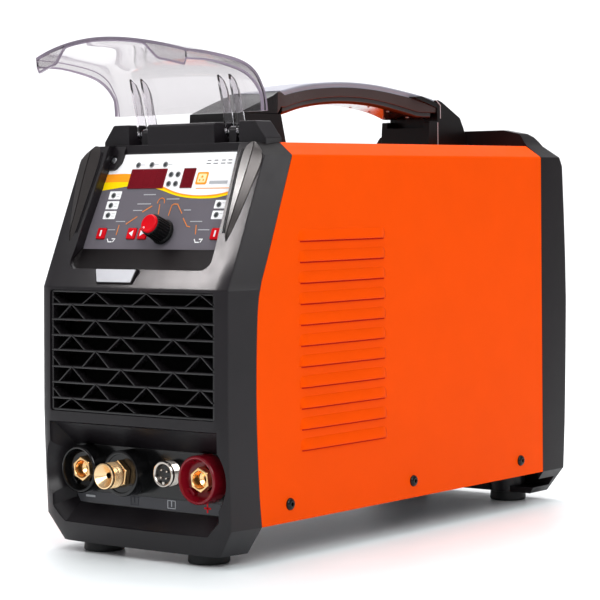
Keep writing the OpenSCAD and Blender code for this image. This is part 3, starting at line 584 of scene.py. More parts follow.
def build_front():
    o = front_shell()
    # connector bay: a funnel to the plate, then a straight hole for it
    rings = []
    for d, hx, z0, z1, c in ((-12, 88.5, 21, 105.5, 12), (-1, 86, 24.3, 102, 12), (15.3, 77.5, 37.5, 84, 4),
                             (15.6, 77.5, 37.5, 84, 4), (40, 77.5, 37.5, 84, 4)):
        rings.append([P(x, d, z) for x, z in bay_outline(hx, z0, z1, c)])
    cut(o, loft("cutter", rings, INSIDE, None))
    # round reliefs beside the current sockets
    for node in ("negative_socket", "positive_socket"):
        c = centre(node)
        cut(o, lathe("cutter", [(0.01, -4), (19.6, -4), (19.8, 0), (36.5, 24), (0.01, 24)],
                     (c.x, KNEE_Y + 15.3 * MM, c.z), FORWARD, INSIDE, None, seg=96, closed=True))
    # grille opening and the hollow behind it
    cut(o, cutter(rounded(rect(-85.5, 85.5, 111.5, 207), 2.5, 4), along_y, -20, 60))
    cut(o, cutter([(17, 88), (17, 200), (66, 306), (120, 306), (120, 88)], along_x, -95, 95))
    # control panel recess: lip, ramp, well, open at the top
    rings = []
    for p, u0, hx0, hx1, corner in ((-14, 14.5, 73.8, 66.6, 9), (0.0, 14.5, 73.8, 66.6, 9),
                                    (1.2, 16.2, 73.8, 66.6, 9), (PANEL_DEPTH, 37.5, 75.5, 68.3, 1.2)):
        rings.append([on_panel(x, p, u) for x, u in recess_outline(u0, hx0, hx1, corner)])
    well = loft("cutter", rings, INSIDE, None)
    # the well ends at the rail's front face
    cut(well, cutter([(58, 200), (58, 400), (200, 400), (200, 200)], along_x, -90, 90))
    cut(o, well)
    cut(o, cutter([(-74, 112), (74, 112), (75, 36), (-75, 36)], panel_prism, PANEL_DEPTH - 0.5, 40))
    round_edges(o, 0.9, 3, 24)
    paint_shade_on_ramp_and_folds(o)
    return o


front = build_front()

# ------------------------------------------------------------------ hump, rail and hinge lugs


def build_boss(s, shift):
    """Screw boss in a top corner of the panel, and its screw."""
    pts = rounded([(s * (74 + shift), 104), (s * (63.5 + shift), 104), (s * (58.6 + shift), 110.5),
                   (s * (57.6 + shift), 124), (s * (74 + shift), 124)], [0, 5, 4, 0, 0], 6)
    x, u = s * (67.5 + shift), 112.5
    boss = cut(prism("boss", pts, panel_prism, 7.6, PANEL_DEPTH + 0.5, FRAME),
               cutter(disc(x, u, 3.5), panel_prism, 0, 9.4))
    screw = [(2.7, 0), (2.7, 1.0), (2.2, 1.5), (1.2, 1.6), (1.1, 0.9), (0.01, 0.9)]
    return [round_edges(boss, 0.6, 3, 35),
            lathe("boss_screw", screw, on_panel(x, 9.6, u), PANEL_OUT, STEEL, seg=32)]


def build_hump():
    parts = []
    side = rounded([(57.5, 312), (84.4, 312), (84.4, 323), (74, 336.4), (57.5, 336.4)], [0, 0, 0, 2.5, 1], 4)
    lug = rounded(rect(67, 75, 319, 333), [0, 0, 3.9, 3.9], 8)
    for s in (1, -1):
        block = prism("hump_block", [(x * s, z) for x, z in side], along_y, 60.5, 80, FRAME)
        parts.append(round_edges(block, 1.6, 3, 35))
        wall = prism("hump_wall", rect(s * 35, s * 57.6, 316, 335.5), along_y, 77.5, 80, FRAME)
        parts.append(round_edges(wall, 0.6, 2, 35))
        parts.append(round_edges(prism("hinge_lug", lug, along_x, s * 42, s * 49.5, FRAME), 0.4))
    rail = prism("rail", rounded([(58, 309), (80, 314), (80, 336.4), (58, 336.0)], [0, 0, 2, 2.2], 4),
                 along_x, -35, 35, FRAME)
    parts.append(round_edges(rail, 0.7))
    shelf = prism("shelf", [(57.9, 309), (80, 314), (80, 320), (57.9, 320)], along_x, -69, 69, FRAME)
    parts.append(round_edges(shelf, 0.5))
    return join("front_frame_hump", parts + build_boss(-1, 0) + build_boss(1, 3))


hump = build_hump()

# (up the slope, across) of the leaf's inner edge, groove and outer edge
LEAF_IN = [(38.5, 81.0), (45, 78.4), (60, 77.0), (80, 75.8), (95, 74.9), (110, 74.6), (117, 76.0),
           (121.5, 80.3)]
LEAF_MID = [(38.5, 81.2), (45, 81.7), (68, 82.7), (92, 84.3), (110, 84.9), (117, 84.6), (121.5, 82.4)]
LEAF_OUT = [(38.5, 81.4), (46, 84.0), (66, 88.4), (88, 92.3), (103, 94.8), (109, 94.3), (115, 90.7),
            (121.5, 83.2)]
LEAF_ROWS = [38.5, 39.5, 41, 43, 46, 50, 55, 60, 66, 72, 78, 84, 90, 96, 100, 104, 107, 110, 113, 115.5,
             118, 120, 121.2]


def curve_at(table, u):
    """Smooth curve through a table of (key, value)."""
    i = max([j for j in range(len(table) - 1) if table[j][0] <= u + 1e-9] or [0])
    (k1, p1), (k2, p2) = table[i], table[i + 1]
    k0, p0 = table[i - 1] if i > 0 else (k1 - (k2 - k1), 2 * p1 - p2)
    k3, p3 = table[i + 2] if i + 2 < len(table) else (k2 + (k2 - k1), 2 * p2 - p1)
    m1, m2 = (p2 - p0) / (k2 - k0) * (k2 - k1), (p3 - p1) / (k3 - k1) * (k2 - k1)
    t = (u - k1) / (k2 - k1)
    return ((2 * t ** 3 - 3 * t * t + 1) * p1 + (t ** 3 - 2 * t * t + t) * m1
            + (3 * t * t - 2 * t ** 3) * p2 + (t ** 3 - t * t) * m2)


def facet_side(s, name):
    """Leaf of two satin facets in a lighter grey that is painted sheen, a groove in near black painted shade
    between them, and thin ribs on its inner side.
    """
    parts = []
    between = [u for u in LEAF_ROWS if 44 < u < 117]

    def strip(inner, shift_in, outer, shift_out, h_in, h_out, mat, rows=LEAF_ROWS, bevel=0.16):
        rings = []
        for u in rows:
            a, b = curve_at(inner, u) + shift_in, curve_at(outer, u) + shift_out
            ease = min(1, (u - 38) / 9, (122.5 - u) / 6)
            rings.append([on_panel(s * a, 0.6, u), on_panel(s * a, -h_in * ease - 0.3, u),
                          on_panel(s * b, -h_out * ease - 0.3, u), on_panel(s * b, 0.6, u)])
        parts.append(round_edges(loft("facet", rings, mat), bevel))

    strip(LEAF_IN, 0, LEAF_MID, -0.45, 0.5, 2.3, FACET_SHEEN)
    strip(LEAF_MID, 0.45, LEAF_OUT, 0, 2.3, 0.4, FACET_SHEEN)
    # the groove between the facets, in near black painted shade
    strip(LEAF_MID, -0.5, LEAF_MID, 0.5, 1.2, 1.2, INSIDE)
    strip(LEAF_IN, -1.0, LEAF_IN, -0.45, 0.9, 0.9, FRAME, between, 0.1)
    strip(LEAF_IN, -2.6, LEAF_IN, -1.9, 0.8, 0.8, FRAME, between, 0.1)
    return join(name, parts)


leaf_right, leaf_left = facet_side(1, "front_facets_right"), facet_side(-1, "front_facets_left")


def foot_bosses(end):
    """Round bosses of an end frame that its feet are screwed to."""
    bosses = []
    for node in ("foot_" + end + "_left", "foot_" + end + "_right"):
        c = centre(node)
        bosses.append(lathe("foot_boss", [(0.01, 0.02), (15.4, 0.02), (15.4, 20), (0.01, 20)],
                            (c.x, c.y, FLOOR_Z * MM), (0, 0, 1), FRAME, closed=True))
    return bosses


lips = [prism("front_lip", rect(24, 41, 31.5, 205), along_x, a, a + 2.4, FRAME_DARK) for a in (96.0, -98.4)]
join("front_frame_inner", foot_bosses("front") + lips)
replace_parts(front, "front_frame")

# ------------------------------------------------------------------ grille

SLATS = [195.6, 183.7, 171.3, 159.7, 146.6, 134.2, 121.9]
CHEVRON_REACH, CHEVRON_PITCH = 14.6, 53.3
CHEVRON_FIRST = (-88.5, -61.5)  # leftmost peaks of the even and the odd rows


def grille_depth(x, z):
    return lerp_table(FACE, z) - lerp_table(BULGE, abs(x)) + 1.0


def chevron_leg(bm, apex, s, top, low):
    """One leg of a chevron, cut off at the grille's frame."""
    limit = GRILLE_X - 2.0
    ends = []
    for t in (0.0, 1.0):
        x = apex + s * CHEVRON_REACH * t
        if abs(x) > limit:
            t = (math.copysign(limit, x) - apex) / (s * CHEVRON_REACH)
            x = apex + s * CHEVRON_REACH * t
        ends.append((t, x, top + (low - top) * t))
    if abs(ends[0][0] - ends[1][0]) < 0.12 or not all(-0.01 <= e[0] <= 1.01 for e in ends):
        return
    rings = []
    for _, x, z in ends:
        d = grille_depth(x, z) - 0.5
        rings.append([P(x - 0.8, d, z), P(x + 0.8, d, z), P(x + 1.15, d + 1.4, z), P(x + 1.2, d + 10, z),
                      P(x - 1.2, d + 10, z), P(x - 1.15, d + 1.4, z)])
    loft_bm(bm, rings)


def build_grille():
    xs = [-GRILLE_X + 2 * GRILLE_X * k / 24 for k in range(25)]
    bm = bmesh.new()
    for z in SLATS:
        rings = []
        for x in xs:
            d = grille_depth(x, z)
            rings.append([P(x, d, z - 0.75), P(x, d, z + 0.75), P(x, d + 1.2, z + 1.1),
                          P(x, d + 11, z + 1.4), P(x, d + 11, z - 1.4), P(x, d + 1.2, z - 1.1)])
        loft_bm(bm, rings)
    slats = round_edges(link("grille_slats", bm, GRILLE), 0.3, 2, 30)
    # frame round the openings
    bm = bmesh.new()
    for za, zb in ((GRILLE_LOW, GRILLE_LOW + 1.8), (GRILLE_HIGH - 1.8, GRILLE_HIGH)):
        rings = []
        for x in xs:
            d = grille_depth(x, za) + 0.6
            rings.append([P(x, d, za), P(x, d, zb), P(x, d + 14, zb), P(x, d + 14, za)])
        loft_bm(bm, rings)
    for s in (-1, 1):
        rings = []
        for k in range(13):
            z = GRILLE_LOW + (GRILLE_HIGH - GRILLE_LOW) * k / 12
            d = grille_depth(GRILLE_X, z) + 0.4
            rings.append([P(s * (GRILLE_X - 2.4), d, z), P(s * GRILLE_X, d, z),
                          P(s * GRILLE_X, d + 14, z), P(s * (GRILLE_X - 2.4), d + 14, z)])
        loft_bm(bm, rings)
    rim = round_edges(link("grille_rim", bm, GRILLE), 0.35)
    # chevrons, one row high, staggered
    bm = bmesh.new()
    edges = [GRILLE_HIGH - 1.5] + SLATS + [GRILLE_LOW + 1.5]
    for row, (top, low) in enumerate(zip(edges, edges[1:])):
        for k in range(4):
            for s in (-1, 1):
                chevron_leg(bm, CHEVRON_FIRST[row % 2] + CHEVRON_PITCH * k, s, top + 0.3, low + 0.6)
    chevrons = round_edges(link("grille_chevrons", bm, GRILLE), 0.22)
    grille = join("front_grille_detail", [slats, rim, chevrons])
    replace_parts(grille, "front_grille")


def build_baffle():
    """Slanted slats behind the grille that let air in and close the view, near black in painted shade."""
    bm = bmesh.new()
    for k in range(15):
        z = 114 + k * 6.3
        prism_bm(bm, [(18, z - 3.4), (19.2, z - 3.4), (24, z + 3.4), (22.8, z + 3.4)], along_x, -84, 84)
    link("front_baffle", bm, INSIDE)


build_grille()
build_baffle()

# ------------------------------------------------------------------ cover

LOUVERS = 11
LOUVER_TOP, LOUVER_STEP = 244.3, 16.1
LOUVER_A, LOUVER_B = 78.0, 192.0
LOUVER_OUT = 2.75


def build_sheet():
    """The steel sheet with bent corners, from the left foot over the top to the right."""
    pts = [(-SIDE, COVER_LOW), (-SIDE, FOLD_Z), (-TOP_X, TOP_Z), (TOP_X, TOP_Z), (SIDE, FOLD_Z),
           (SIDE, COVER_LOW)]
    profile = rounded(pts, [0, 2.6, 2.6, 2.6, 2.6, 0], 5)
    dense = []
    for a, b in zip(profile, profile[1:]):
        a, b = Vector(a), Vector(b)
        n = max(1, int(abs(b.y - a.y) / 9))
        dense += [a.lerp(b, k / n) for k in range(n)]
    dense.append(Vector(profile[-1]))
    rings = []
    for t in (0, 0.5, 1):
        ring = []
        for x, z in dense:
            f = lerp_table(SEAM, z) + SEAM_GAP
            ring.append(P(x, f + (COVER_END - 0.3 - f) * t, z))
        rings.append(ring)
    o = loft("cover_sheet", rings, [ORANGE, INSIDE], close=False)
    thicken(o, 1.2)
    bake(o)
    # faces turned inwards get the near black painted shade of the inside
    for f in o.data.polygons:
        inward = Vector((-f.center.x, 0, 0.18 - f.center.z))
        if abs(f.normal.y) < 0.5 and f.normal.dot(inward) > 0:
            f.material_index = 1
    return o


def louver_bars(name, inset, low, high, x0, x1, mat, body):
    """One bar at each louver of both sides."""
    bm = bmesh.new()
    for s in (-1, 1):
        for k in range(LOUVERS):
            z = LOUVER_TOP - k * LOUVER_STEP
            prism_bm(bm, rect(LOUVER_A + inset, LOUVER_B - inset, z + low, z + high), along_x, s * x0, s * x1)
    return link(name, bm, mat, body)


def louver(s, z, n=26, m=7):
    """A pressed hood: open slit below, curved back above, ends faired into the side."""
    rings = []
    for i in range(n + 1):
        t = i / n
        ends = min(1, min(t, 1 - t) * n / 2.6)
        out = LOUVER_OUT * (1 - (1 - ends) ** 2) ** 0.5
        ring = []
        for a in (j / m for j in range(m + 1)):
            # from the lip at the bottom up and back to the side
            x = SIDE - 0.35 + out * (1 - a ** 1.7)
            ring.append(P(s * x, LOUVER_A + (LOUVER_B - LOUVER_A) * t, z - 0.3 + 9.6 * a ** 1.15))
        rings.append(ring)
    o = loft("louver", rings, ORANGE, close=False)
    thicken(o, 0.9)
    bake(o)
    for f in o.data.polygons:
        f.use_smooth = True
    return o


def build_cover():
    sheet = build_sheet()
    shade(cut(sheet, louver_bars("cutter", 4, -0.6, 1.6, 95, 106, INSIDE, None)), 30)
    hoods = [louver(s, LOUVER_TOP - k * LOUVER_STEP) for s in (1, -1) for k in range(LOUVERS)]
    # dark red strips under each hood's lip: painted shadow of the slit
    edges = louver_bars("slit_edges", 3, -1.6, -0.2, 99.6, 100.05, ORANGE_PAINTED_SHADE, "case")
    cover = join("cover_detail", [sheet] + hoods + [edges])
    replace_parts(cover, "cover")
    # liners that close the view through the slits, their outer faces dark red painted shade
    for side, name in ((1, "cover_liner"), (-1, "cover_liner_left")):
        liner = prism(name, rect(72, 200, 60, 262), along_x, side * 97.6, side * 98.6, [INSIDE, ORANGE_PAINTED_SHADE])
        for f in liner.data.polygons:
            f.material_index = 1 if f.normal.x * side > 0.5 else 0


build_cover()

# ------------------------------------------------------------------ rear frame

REAR = [(8.5, 460.5), (20, 463), (30, 465.3), (70, 468), (120, 470), (181, 471.4), (230, 470.2),
        (271, 468), (301.4, 466)]


def rear_ring(z, w, back, crown):
    """Level section of the rear frame; crown is how far its middle stands out."""
    start = COVER_END + 0.1
    pts = [(w, start), (w, back - 6), (w - 1.6, back - 2), (w - 5, back), (w - 14, back + crown),
           (0.3 * w, back + crown + 1)]
    return [P(x, d, z) for x, d in pts] + [P(-x, d, z) for x, d in pts[::-1]]


def build_rear():
    rings = [rear_ring(z, lerp_table(WIDTH, z), lerp_table(REAR, z), 1.0)
             for z in (8.5, 14, 29.3, 45, 70, 100, 140, 180, 220, 260, 290, 301.4)]
    rings += [rear_ring(z, w, back, 0.6) for z, w, back in
              ((309.4, 100, 461.5), (TOP_Z, 85.5, 457), (324, 82, 455.5), (328, 79.5, 451.5),
               (331, 77, 444.5))]
    rings.append(rear_ring(334.5, 60, 440, 0.2))
    o = loft("rear_frame_shell", rings, FRAME_REAR)
    cut(o, cutter([(-95, 14), (95, 14), (95, 305), (80, 315), (-80, 315), (-95, 305)], along_y, 400, 452))
    cut(o, cutter(rounded(rect(-82, 82, 28, 302), 5, 5), along_y, 440, 500))
    round_edges(o, 1.1, 3, 26)
    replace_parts(o, "rear_frame")
    return o


rear = build_rear()
join("rear_frame_bosses", foot_bosses("rear"))
refine("rear_panel", PANEL_STEEL, 0.25)

# ------------------------------------------------------------------ screws and feet

SCREW_R = 4.7
SCREW_DEPTHS = (65, 227, 389)


def hex_button(at, axis):
    """Button-head screw with a hexagon socket."""
    profile = [(0.01, -1), (SCREW_R, -1), (SCREW_R, 0.5), (SCREW_R * 0.95, 1.2), (SCREW_R * 0.78, 2.0),
               (SCREW_R * 0.56, 2.5), (SCREW_R * 0.5, 2.55)]
    head = lathe("screw", profile, at, axis, BLACK_STEEL, seg=40, closed=True)
    cut(head, loft("cutter", [circle(at, axis, 1.75, h, 6) for h in (3.5, 0.9)], INSIDE, None))
    return shade(head)


def build_screws():
    z = centre("cover_screws").z / MM
    screws = [hex_button(P(s * SIDE, d, z), (s, 0, 0)) for s in (1, -1) for d in SCREW_DEPTHS]
    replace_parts(join("cover_screws_detail", screws), "cover_screws")


def build_foot(node):
    c = centre(node)
    profile = [(5.5, 0.9), (5.9, 0.2), (13.8, 0), (15.4, 0.35), (16.15, 1.6), (16.1, 4), (15.7, 8.3),
               (3, 8.4), (3, 3), (5.5, 3)]
    foot = lathe(node + "_detail", profile, (c.x, c.y, 0), (0, 0, 1), RUBBER)
    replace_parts(foot, node)


build_screws()
for corner in ("front_left", "front_right", "rear_left", "rear_right"):
    build_foot("foot_" + corner)

# ------------------------------------------------------------------ connector bay

STRIP_LOW, STRIP_HIGH = 39.4, 46.0  # of the symbols on the label strip


def build_plate():
    """Gloss plate with a label strip and plain symbols under the connectors."""
    front_d = 15.6
    base = prism("plate", bay_outline(77.8, 37.2, 84.3, 4), along_y, front_d - 0.6, front_d + 3, GLOSS_BLACK)
    outline = [(-73, 38), (77, 38), (77, 46.8), (-74.5, 46.8), (-76.5, 44)]
    strip = prism("label_strip", outline, along_y, front_d - 1.1, front_d - 0.5, LABEL)
    parts = [round_edges(base, 0.3), round_edges(strip, 0.12, 1)]

    def bar(x0, x1, z0, z1, mat):
        parts.append(prism("mark", rect(x0, x1, z0, z1), along_y, front_d - 1.3, front_d - 1, mat))

    bar(-61.7 - 5, -61.7 + 5, 42.2, 43.8, MARK)  # minus
    bar(60.5 - 3.4, 60.5 + 3.4, 41.9, 43.3, RED)  # plus
    bar(59.8, 61.2, 39.2, 46.0, RED)
    for x, mat in ((-14.6, INK), (24, MARK)):  # open squares with a bar
        for z in (STRIP_LOW, STRIP_HIGH - 0.6):
            bar(x - 4.2, x + 4.2, z, z + 0.6, mat)
        for dx in (-4.2, 3.6):
            bar(x + dx, x + dx + 0.6, STRIP_LOW, STRIP_HIGH, mat)
        bar(x - 0.4, x + 0.4, 41, STRIP_HIGH, mat)
    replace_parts(join("connector_plate_detail", parts), "connector_plate")


def hexagon(at, flats, turn, height):
    """Hexagon that faces forward; flats is its width across flats."""
    r = flats / math.sqrt(3) * MM
    return [at + Vector((math.cos(t) * r, -height * MM, math.sin(t) * r))
            for t in (turn + math.pi * k / 3 for k in range(6))]


def build_socket(node, contact, mat):
    """Ring with bayonet lugs round a brass contact that is a hexagon outside and a plug hole inside."""
    at = on_plate(node)
    profile = [(14.0, -3), (19.0, 0), (18.9, 1.0), (18.75, 13.2), (18.2, 14.4), (17.2, 15.0), (16.3, 14.6),
               (15.9, 13.4), (15.3, 8.0), (14.7, 6.2), (12.6, 4.8), (9.6, 4.3), (9.3, 2.0)]
    parts = [lathe(node + "_ring", profile, at, FORWARD, mat, seg=96)]
    for a in (-2.35, 0.8):
        pts = [(at.x / MM + r * math.cos(a + da), at.z / MM + r * math.sin(a + da))
               for r, da in ((15.6, -0.28), (15.6, 0.28), (12.4, 0.22), (12.4, -0.22))]
        parts.append(round_edges(prism("lug", pts, along_y, 5.5, 10.5, mat), 0.5))
    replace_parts(join(node + "_detail", parts), node)

    flats, turn = 17.5, math.pi / 2 + 0.12
    body = loft("hex", [hexagon(at, flats, turn, 2), hexagon(at, flats, turn, 10.2),
                        hexagon(at, flats * 0.93, turn, 11.0)], BRASS_PLAIN)
    hole = [(6.5, -12), (6.5, 9.6), (7.3, 12)]
    cut(body, lathe("cutter", hole, at, FORWARD, BRASS_PLAIN, None, seg=48, closed=True))
    round_edges(body, 0.35)
    tube = [(8.7, -20), (8.7, 4), (6.5, 4.2), (6.3, 3.2), (3.9, 1.6), (3.5, 0.9)]
    # the plug hole's bore is near black: painted shade
    bore = [(3.5, 0.9), (3.5, -12), (0.01, -12)]
    brass = join(contact + "_detail", [body, lathe("contact_tube", tube, at, FORWARD, BRASS_PLAIN, seg=48),
                                       lathe("contact_bore", bore, at, FORWARD, INSIDE, seg=48)])
    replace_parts(brass, contact)


def build_torch():
    """Black insulator disc, hexagon nut and threaded end with a tapered mouth."""
    at = on_plate("torch_insulator")
    profile = [(9, -4), (17.6, -1), (18.0, 1), (18.0, 15.0), (17.6, 16.1), (16.6, 16.5), (15.0, 16.3),
               (14.7, 15.6), (11, 15.5), (8.5, 15.5)]
    insulator = lathe("torch_insulator_detail", profile, at, FORWARD, GLOSS_BLACK, seg=96)
    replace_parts(insulator, "torch_insulator")
    flats, turn = 19.8, 0.35
    nut = loft("nut", [hexagon(at, flats * scale, turn, h)
                       for scale, h in ((0.92, 15.6), (1, 16.6), (1, 20.6), (0.92, 21.6))], BRASS_PLAIN)
    profile = [(8.8, 18), (8.8, 22.4), (9.9, 22.6), (9.9, 23.4), (9.0, 23.8)]
    for h in (24.0 + 1.12 * k for k in range(7)):
        profile += [(9.2, h), (9.95, h + 0.4), (9.95, h + 0.6), (9.2, h + 1.0)]
    profile += [(9.5, 32.2), (10.1, 32.7), (10.15, 34.5), (9.8, 35.2), (9.0, 35.3), (2.3, 29.4), (2.25, 28.6)]
    # the gas bore is near black: painted shade
    bore = [(2.25, 28.6), (2.2, 20), (0.01, 20)]
    brass = join("torch_connector_detail", [round_edges(nut, 0.4),
                                            lathe("thread", profile, at, FORWARD, BRASS, seg=96),
                                            lathe("bore", bore, at, FORWARD, INSIDE, seg=96)])
    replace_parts(brass, "torch_connector")


def build_control():
    """Threaded nickel shell round a black insert with four pins and a key."""
    at = on_plate("control_socket_shell")
    profile = [(9.6, -1)]
    for h in (0.3 + 0.95 * k for k in range(7)):
        profile += [(9.5, h), (10.0, h + 0.35), (10.0, h + 0.45), (9.5, h + 0.8)]
    profile += [(9.6, 7.6), (10.15, 8.0), (10.15, 9.8), (9.6, 10.4), (8.7, 10.5), (8.0, 10.1), (7.7, 9.4),
                (7.3, 5)]
    shell = lathe("control_socket_shell_detail", profile, at, FORWARD, NICKEL, seg=72)
    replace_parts(shell, "control_socket_shell")
    insert = [(7.6, 3), (7.6, 7.4), (7.2, 7.8), (0.01, 7.8)]
    parts = [lathe("insert", insert, at, FORWARD, GLOSS_BLACK, seg=48)]
    for a in (0.6, 2.2, 3.9, 5.4):
        place = at + Vector((math.cos(a), 0, math.sin(a))) * 3.9 * MM
        pin = [(1.1, 7), (1.1, 9.2), (0.6, 9.8), (0.01, 9.9)]
        parts.append(lathe("pin", pin, place, FORWARD, NICKEL, seg=20))
    x, z = at.x / MM, at.z / MM
    parts.append(prism("key", rect(x - 1.1, x + 1.1, z - 7.7, z - 5.9), along_y, 5.2, 9, NICKEL))
    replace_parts(join("control_socket_insert_detail", parts), "control_socket_insert")


build_plate()
build_socket("negative_socket", "negative_contact", GLOSS_BLACK)
build_socket("positive_socket", "positive_contact", GLOSS_RED)
build_torch()
build_control()

# ------------------------------------------------------------------ control panel

BUTTONS = {"button_left": 0, "button_back": -1, "button_next": 1, "button_right": 0}  # way the mark points
# (across, up the slope) of the swoosh's three edges
SWOOSH_LOW = [(-76, 86.4), (-60, 88.4), (-44, 90.4), (-26, 90.0), (-8, 86.3), (7.8, 81.9), (24.8, 79.5),
              (46.7, 79.4), (58.2, 81.4), (76, 86.5)]
SWOOSH_MID = [(-76, 93.9), (-44, 94.0), (-26, 92.5), (-6, 87.4), (7.8, 83.3), (24.8, 81.0), (46.7, 80.9),
              (58.2, 82.9), (76, 88.0)]
SWOOSH_TOP = [(-76, 100.9), (-44, 100.9), (-26, 96.5), (-4.8, 88.6), (6.7, 84.9), (19.4, 82.7),
              (31.4, 81.9), (45.7, 82.4), (58, 84.3), (76, 89.5)]
LAMP_ROW, LEFT_LAMPS, RIGHT_LAMPS = 108.5, (65.3, 73.8, 82.3), (65.3, 73.8)
PULSE_ARC = [(-5.3 - 3.6 * math.cos(t), 75.6 + 4.2 * math.sin(t))
             for t in (k * math.pi / 8 for k in range(9))]
PULSE_STROKES = [[(-43.3, 48.7), (-43.0, 56.6)], [(-35.8, 57.8), (-26.5, 63.9)],
                 [(-22.0, 68.1), (-13.8, 72.9)], [(-4.7, 66.2), (-6.0, 74.1)], PULSE_ARC,
                 [(6.2, 65.0), (6.9, 73.4), (8.8, 74.6), (12.6, 74.5), (19.6, 66.7)],
                 [(22.5, 62.5), (28.4, 56.0), (31.5, 55.4)], [(39.3, 49.5), (37.7, 56.6)]]
# (left end, right end, height) of the lines that stand for captions
CAPTIONS = [(-25.6, -13.5, 82.8), (-29.7, -16, 74.9), (-32.3, -23.2, 69.4), (-47.4, -38.1, 60),
            (-53.3, -46.3, 52.9), (-0.2, 12.5, 78.9), (20.9, 27.5, 69.5), (30.7, 42.3, 59.9), (41, 51.8, 53)]


def flat(pts, mat, proud):
    """A thin printed patch; proud is its height above the plate."""
    return prism("patch", pts, panel_prism, PANEL_DEPTH - proud - 0.1, PANEL_DEPTH - proud, mat)


def band(low, high, mat, proud):
    """A printed band between two curves, cut off at the panel's slanted edges."""
    rings = []
    for x in (-75 + 150 * k / 40 for k in range(41)):
        a, b = low(x), high(x)
        limit = 75.5 - ((a + b) / 2 - 37.5) * 0.0640
        x = max(-limit, min(limit, x))
        top = PANEL_DEPTH - proud
        rings.append([on_panel(x, top, a), on_panel(x, top, b), on_panel(x, top + 0.1, b),
                      on_panel(x, top + 0.1, a)])
    return loft("band", rings, mat)


def ribbon(pts, width, mat, proud=0.26):
    """A thin line drawn through points on the panel."""
    bm = bmesh.new()
    for a, b in zip(pts, pts[1:]):
        a, b = Vector(a), Vector(b)
        n = Vector((a.y - b.y, b.x - a.x)).normalized() * width / 2
        e = (b - a).normalized() * width * 0.45
        prism_bm(bm, [a - n - e, b - n + e, b + n + e, a + n - e], panel_prism, PANEL_DEPTH - proud - 0.05,
                 PANEL_DEPTH - proud)
    return link("ribbon", bm, mat)


def dash(x, half, u, width, mat):
    return ribbon([(x - half, u), (x + half, u)], width, mat)


def swoosh(table, shift=0.0):
    return lambda x: curve_at(table, x) + shift


def plate_base():
    """The grey plate with a hole for each button."""
    base = prism("plate_base", [(-76, 36.5), (76, 36.5), (71, 118), (-71, 118)], panel_prism, PANEL_DEPTH,
                 PANEL_DEPTH + 1.6, GREY)
    for node in BUTTONS:
        x, u = local(node)
        cut(base, cutter(rect(x - 4.7, x + 4.7, u - 5.0, u + 5.0, 0.8), panel_prism, 0, 30))
    return base


def build_panel():
    parts = [plate_base(), band(swoosh(SWOOSH_TOP), lambda x: 118, WHITE, 0.10),
             band(swoosh(SWOOSH_MID, -0.3), swoosh(SWOOSH_TOP), AMBER, 0.14),
             band(swoosh(SWOOSH_LOW), swoosh(SWOOSH_MID), YELLOW, 0.18)]
    # white boxes with a lamp, left and right
    for u in (65.4, 73.9, 82.4):
        parts.append(flat(rect(-63, -50, u - 3.4, u + 3.6, 0.7), WHITE, 0.26))
        parts.append(ribbon([(-54.6, u + 1.2), (-51.4, u + 1.2)], 0.4, MARK, 0.34))
        parts.append(ribbon([(-54.6, u - 0.8), (-51.9, u - 0.8)], 0.4, MARK, 0.34))
    for u in (65.2, 74):
        parts.append(flat(rect(50.5, 62, u - 3.4, u + 3.6, 0.7), WHITE, 0.26))
        parts.append(ribbon([(58, u + 1.2), (60.8, u + 1.2)], 0.4, MARK, 0.34))
    # weld cycle curve in short strokes, with plain caption lines and two small signs
    parts += [ribbon(stroke, 0.75, PULSE, 0.32) for stroke in PULSE_STROKES]
    parts += [ribbon([(x0, u), (x1, u)], 0.75, MARK, 0.24) for x0, x1, u in CAPTIONS]
    for x in (-47.5, 43.6):
        parts.append(ribbon([(x - 4, 45), (x - 2.4, 42.6), (x + 1, 42.6)], 0.9, WHITE))
        parts.append(ribbon([(x + 1, 45.2), (x + 4, 45.2), (x + 2.6, 42.8)], 0.9, WHITE))
    # amber icon: rounded frame with a socket figure, and plain bars beside it
    parts.append(flat(rect(24.6, 36.0, 91.0, 101.4, 1.5), AMBER, 0.26))
    parts.append(flat(rect(26.2, 34.4, 92.5, 99.9, 1.0), PALE, 0.32))
    for x, u, r, n in ((30.3, 97.4, 1.0, 16), (28.4, 94.6, 0.8, 14), (32.2, 94.6, 0.8, 14)):
        parts.append(flat(disc(x, u, r, n), AMBER, 0.38))
    parts += [dash(48, 8, 92.6, 2.6, MARK), dash(44, 17, 87.7, 0.6, AMBER)]
    for x in (33, 40, 47.5, 54):
        parts += [dash(x, 2, 108.6, 0.6, INK), dash(x, 1.6, 111.2, 0.6, INK)]
    parts += [dash(x - 0.2, 2, 108.6, 0.5, MARK) for x in (-35.5, -21, -6.6)]
    panel = join("panel_plate_detail", parts)
    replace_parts(panel, "panel_plate")
    return panel


SEGMENTS = [(0, 1), (0, 0), (0, -1), (-1, 0.5), (1, 0.5), (-1, -0.5), (1, -0.5)]  # across, up


def build_display(node, digits):
    """Dark red window with unlit seven-segment digits."""
    x, u = local(node)
    lo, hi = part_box(node)
    half = (hi.x - lo.x) / 2 / MM
    window = prism("window", rect(x - half, x + half, u - 8.4, u + 8.4, 0.6), panel_prism, PANEL_DEPTH - 0.75,
                   PANEL_DEPTH + 3, DISPLAY)
    parts = [round_edges(window, 0.25)]
    for k in range(digits):
        middle = x - half + 2 * half / digits * (k + 0.5)
        for dx, du in SEGMENTS:
            px, pu = middle + dx * 3.1 + du * 0.5, u + du * 5.6
            hx, hu = (0.5, 2.4) if dx else (2.5, 0.5)
            parts.append(prism("segment", rect(px - hx, px + hx, pu - hu, pu + hu), panel_prism,
                               PANEL_DEPTH - 0.80, PANEL_DEPTH - 0.7, DIGIT))
    o = join(node + "_detail", parts)
    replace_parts(o, node)


